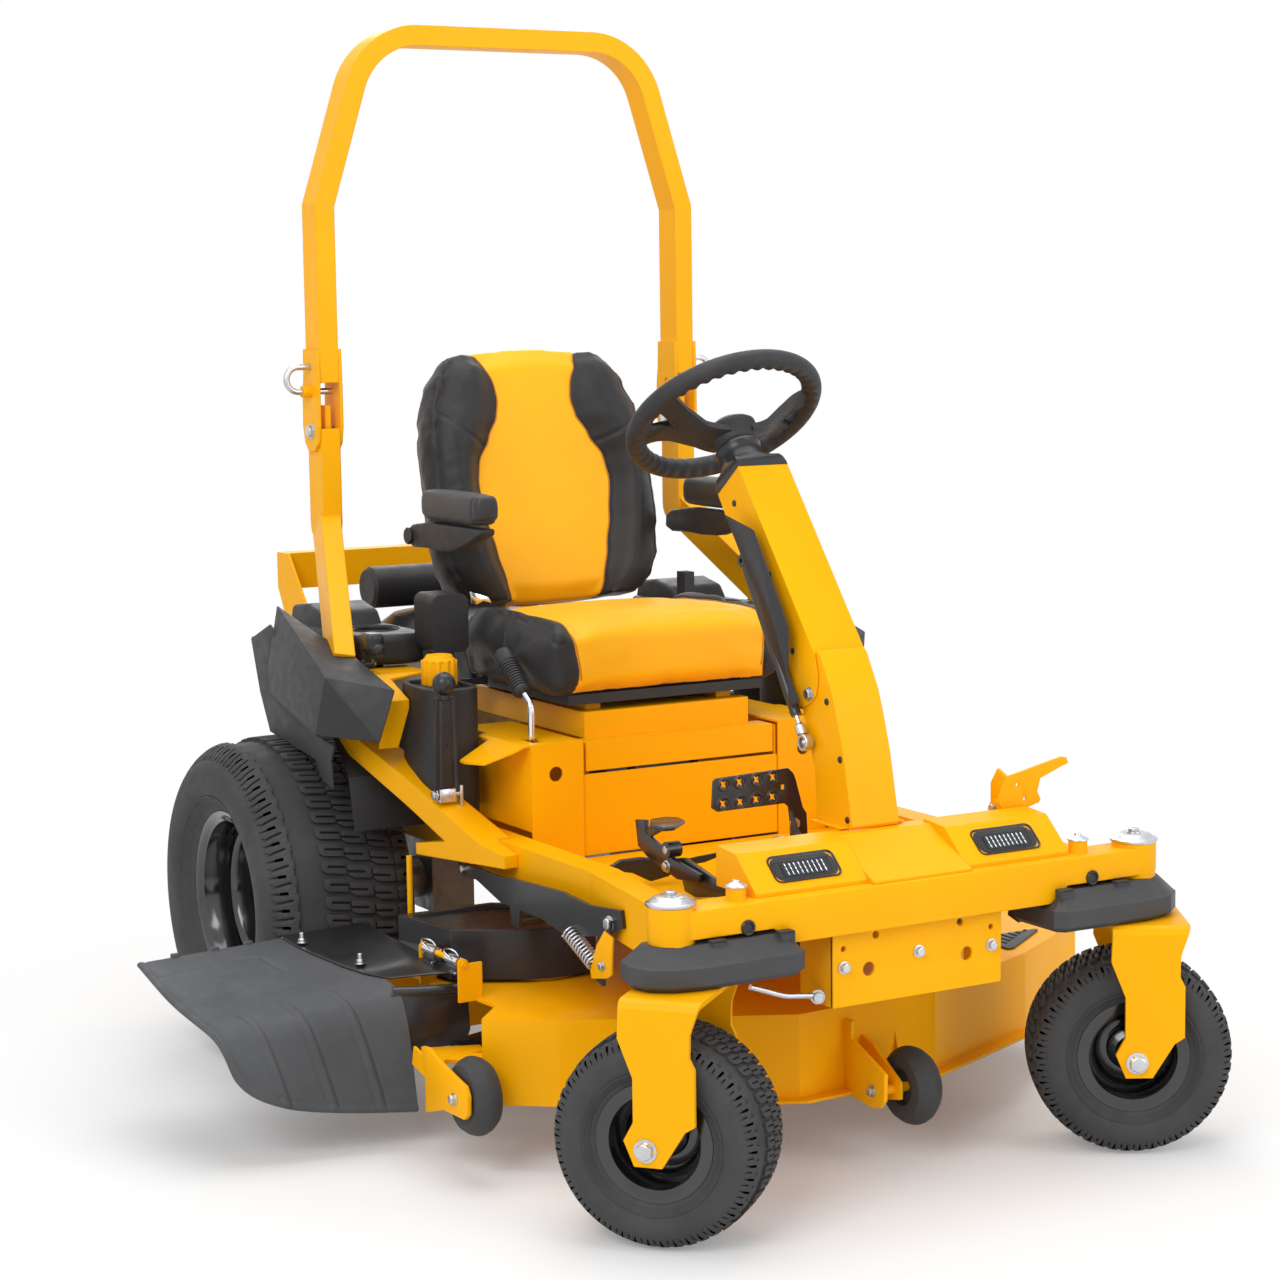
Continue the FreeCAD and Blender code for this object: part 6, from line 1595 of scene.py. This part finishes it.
# lift crank with its spring, and the gauge wheels on their arms
crank = plate("liftCrank", [(-1062, 418), (-1087, 410), (-1084, 379), (-1083, 351), (-1067, 342),
                            (-1018, 332), (-1014, 344), (-1036, 390)], "x", -413, -409, 1)
finished(crank, "lift_arms", yellowPaint, "yellow_paint")
turns = [(-408 + 13 * math.cos(k * math.tau / 8), -1022 + k * 0.95 + 7 * math.sin(k * math.tau / 8), 356
          + k * 0.4 - 11 * math.sin(k * math.tau / 8))
         for k in range(92)]
spring = bendTube("liftSpring", turns, 1.9, 2)
finished(joined("liftSpring", [spring, bolt("crankBolt", (-413, -1056, 360), (-1, 0, 0), 6.5, 5),
                               bolt("armBolt", (-405, -1067, 429), (-1, 0, 0), 10, 6)]),
         "lift_arms", zinc, "steel")
bracketSide = [(-782, 196), (-807, 199), (-865, 182), (-940, 167), (-950, 152), (-948, 122), (-936, 112),
               (-861, 109), (-794, 88), (-795, 149)]
gaugeArms = [plate("gaugeBracket", bracketSide, "x", -602, -593.5, 1.4),
             plate("gaugeFlange", [(-564, -715), (-478, -748), (-484, -781), (-555, -786), (-594, -832),
                                   (-594, -745)], "z", 165, 173, 1.2),
             plate("gaugeArm", [(-1069, 226), (-1108, 230), (-1140, 232), (-1139, 201), (-1233, 164),
                                (-1231, 119), (-1218, 105), (-1194, 101), (-1122, 108), (-1107, 133),
                                (-1082, 180)], "x", -2, 6, 1.4),
             plate("gaugeArmFar", [(-1048, 214), (-1106, 220), (-1118, 173), (-1135, 144), (-1090, 127),
                                   (-1074, 163)], "x", 103, 108, 1),
             rodPiece("gaugeAxle", (0, -1206, 130), (107, -1206, 130), 7.8)]
finished(joined("gaugeBracket", gaugeArms), "deck", yellowPaint, "yellow_paint")
gaugeBolts = [bolt("gaugeBolt", (-2, -1200, 131), (-1, 0, 0), 8, 7), bolt("gaugeBoltRight", (-602, -905, 138),
        (-1, 0, 0), 8, 7)]
finished(joined("gaugeBolts", gaugeBolts), "deck", zinc, "steel")
for side, (x, y, z), body in (("right", (-566, -905, 138), "right_gauge"),
                              ("middle", (70, -1206, 130), "middle_gauge")):
    low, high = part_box(body + "_wheel")
    r = (high[2] - low[2]) * 500
    crown = [(-10, 9), (-12, 26), (-22, 30), (-24, 38), (-23.5, 52), (-20, r - 9), (-13, r - 3.6),
             (-5, r - 0.6), (-1.4, r), (0, r), (1.4, r), (5, r - 0.6), (13, r - 3.6), (20, r - 9), (23.5, 52),
             (24, 38), (22, 30), (12, 26), (10, 9)]
    finished(lathe(side + "GaugeWheel", crown, (x, y, z), (1, 0, 0), 72, 35), body, tyreRubber, "rubber",
             body + "_wheel")
pins = [bolt("hoopBolt%d%d" % (side, out), (side * (386 + out * 25), 46, 1160), (side * out, 0, 0), 12, 7)
        for side in (-1, 1) for out in (-1, 1)]
pins += [rodPiece("hoopPin%d" % side, (side * 358, 46, 1160), (side * 414, 46, 1160), 7.9)
         for side in (-1, 1)]
pins += [bolt("armPin%d" % side, (side * 48.5, -1095, 765), (side, 0, 0), 9, 6) for side in (-1, 1)]
pins += [rodPiece("armShaft", (-50, -1095, 765), (50, -1095, 765), 5.9), bolt("plateBolt", (0, -1324, 384),
        (0, -1, 0), 8, 7)]
pins += [rodPiece("liftPivot%d" % side, (side * 370, -552, 427), (side * 412, -552, 427), 6.9)
         for side in (-1, 1)]
pins += [rodPiece("drivePin", (-110, -1083, 526), (-54, -1083, 526), 6.9),
         block("driveStand", (-110, -1092, 450), (-88, -1074, 536), 1.5)]
pins += [rodPiece("reversePin", (-284, -1031, 526), (-254, -1031, 526), 6.9),
         rodPiece("liftPin", (250, -1176, 560), (284, -1176, 560), 6.9)]
pins += [block("liftStand", (274, -1189, 464), (284, -1163, 570), 1.5),
         rodPiece("brakePin", (-437, -506, 552), (-384, -506, 552), 5.9)]
pins += [block("brakeStand", (-391, -515, 522), (-385, -500, 566), 1),
         rodPiece("heightPin", (-286, -559, 610), (-252, -559, 610), 4.9)]
pins += [block("heightStand", (-258, -569, 600), (-253, -549, 636), 1),
         rodPiece("throttlePin", (-463, -246, 752), (-424, -246, 752), 3.9)]
stud = [(-18, 0), (-18, 4)] + [(6.5 * math.sin(a), 6.5 * math.cos(a)) for a in (math.radians(-50 + 20 * k)
        for k in range(7))] + [(6.5, 0)]
pins.append(lathe("ballStud", stud, (-60, -1099, 688), (-1, 0, 0), 32))
finished(joined("framePins", pins), "chassis", zinc, "steel", "frame_pins")
print("pedals and gauge wheels ready")


# studio
cameraPlace = {"eye": (-2.3285, -4.3103, 1.3866), "yaw": 29.73, "pitch": -6.95, "roll": -0.8, "lens": 77.304}
yaw, pitch, roll = (math.radians(cameraPlace[key]) for key in ("yaw", "pitch", "roll"))
forward = Vector((math.sin(yaw) * math.cos(pitch), math.cos(yaw) * math.cos(pitch), math.sin(pitch)))
level = Vector((math.cos(yaw), -math.sin(yaw), 0))
upright = level.cross(forward)
side = level * math.cos(roll) + upright * math.sin(roll)
top = upright * math.cos(roll) - level * math.sin(roll)
letGo()
bpy.ops.object.camera_add(location=cameraPlace["eye"])
camera = bpy.context.object
camera.rotation_euler = Matrix((side, top, -forward)).transposed().to_euler()
camera.data.lens = cameraPlace["lens"]
camera.data.sensor_width = 36.0
camera.data.clip_end = 60.0
scene.camera = camera

lightTable = {  # place, aim, side length in metres, watts
    "keyLight": ((-4.2, -3.4, 4.2), (0, 0, 0.7), 3.2, 160.0),
    "frontFill": ((2.6, -5.2, 2.6), (0, -0.3, 0.6), 3.0, 76.0),
    "topSoft": ((0.2, 0.2, 4.6), (0, 0, 0.6), 3.6, 95.0),
    "rearEdge": ((2.2, 4.4, 3.2), (0, 0, 0.9), 2.4, 60.0),
}
for name, (place, aim, size, watts) in lightTable.items():
    bpy.ops.object.light_add(type="AREA", location=place)
    lamp = bpy.context.object
    lamp.name = name
    lamp.data.size = size
    lamp.data.energy = watts
    lamp.rotation_euler = (Vector(aim) - Vector(place)).to_track_quat("-Z", "Y").to_euler()

world = bpy.data.worlds.new("paleStudio")
scene.world = world
world.use_nodes = True
sky = world.node_tree
backdrop = sky.nodes["Background"]
rays = sky.nodes.new("ShaderNodeLightPath")
seen = sky.nodes.new("ShaderNodeMath")
seen.operation = "MAXIMUM"
seenToo = sky.nodes.new("ShaderNodeMath")
seenToo.operation = "MAXIMUM"
sky.links.new(rays.outputs["Is Camera Ray"], seen.inputs[0])
sky.links.new(rays.outputs["Is Glossy Ray"], seen.inputs[1])
sky.links.new(seen.outputs["Value"], seenToo.inputs[0])
sky.links.new(rays.outputs["Is Transmission Ray"], seenToo.inputs[1])
strength = sky.nodes.new("ShaderNodeMapRange")
strength.inputs["To Min"].default_value = 0.58
strength.inputs["To Max"].default_value = 1.0
sky.links.new(seenToo.outputs["Value"], strength.inputs["Value"])
backdrop.inputs["Color"].default_value = (1, 1, 1, 1)
sky.links.new(strength.outputs["Result"], backdrop.inputs["Strength"])

letGo()
bpy.ops.mesh.primitive_circle_add(vertices=96, radius=9.0, fill_type="NGON", location=(0, 0, 0))
floor = named("studioFloor")
floorFinish, floorTree, floorShader = newFinish("paleFloor", (0.86, 0.86, 0.86, 1), 0.9, specular=0.0)
floorPlace = floorTree.nodes.new("ShaderNodeTexCoord").outputs["Object"]
distance = floorTree.nodes.new("ShaderNodeVectorMath")
distance.operation = "LENGTH"
floorTree.links.new(floorPlace, distance.inputs[0])
fade = rangeOn(floorTree, distance.outputs["Value"], 0.8, 2.3, 0.12, 1.0)
glow = floorTree.nodes.new("ShaderNodeEmission")
floorRays = floorTree.nodes.new("ShaderNodeLightPath")
glow.inputs["Color"].default_value = (1, 1, 1, 1)
blendOut = floorTree.nodes.new("ShaderNodeMixShader")
floorTree.links.new(fade, blendOut.inputs["Fac"])
floorTree.links.new(floorShader.outputs["BSDF"], blendOut.inputs[1])
floorTree.links.new(glow.outputs["Emission"], blendOut.inputs[2])
onlySeen = floorTree.nodes.new("ShaderNodeMixShader")
floorTree.links.new(floorRays.outputs["Is Camera Ray"], onlySeen.inputs["Fac"])
floorTree.links.new(floorShader.outputs["BSDF"], onlySeen.inputs[1])
floorTree.links.new(blendOut.outputs["Shader"], onlySeen.inputs[2])
floorTree.links.new(onlySeen.outputs["Shader"], floorTree.nodes["Material Output"].inputs["Surface"])
floor.data.materials.append(floorFinish)

scene.view_settings.view_transform = "Standard"
letGo()
print("studio ready")
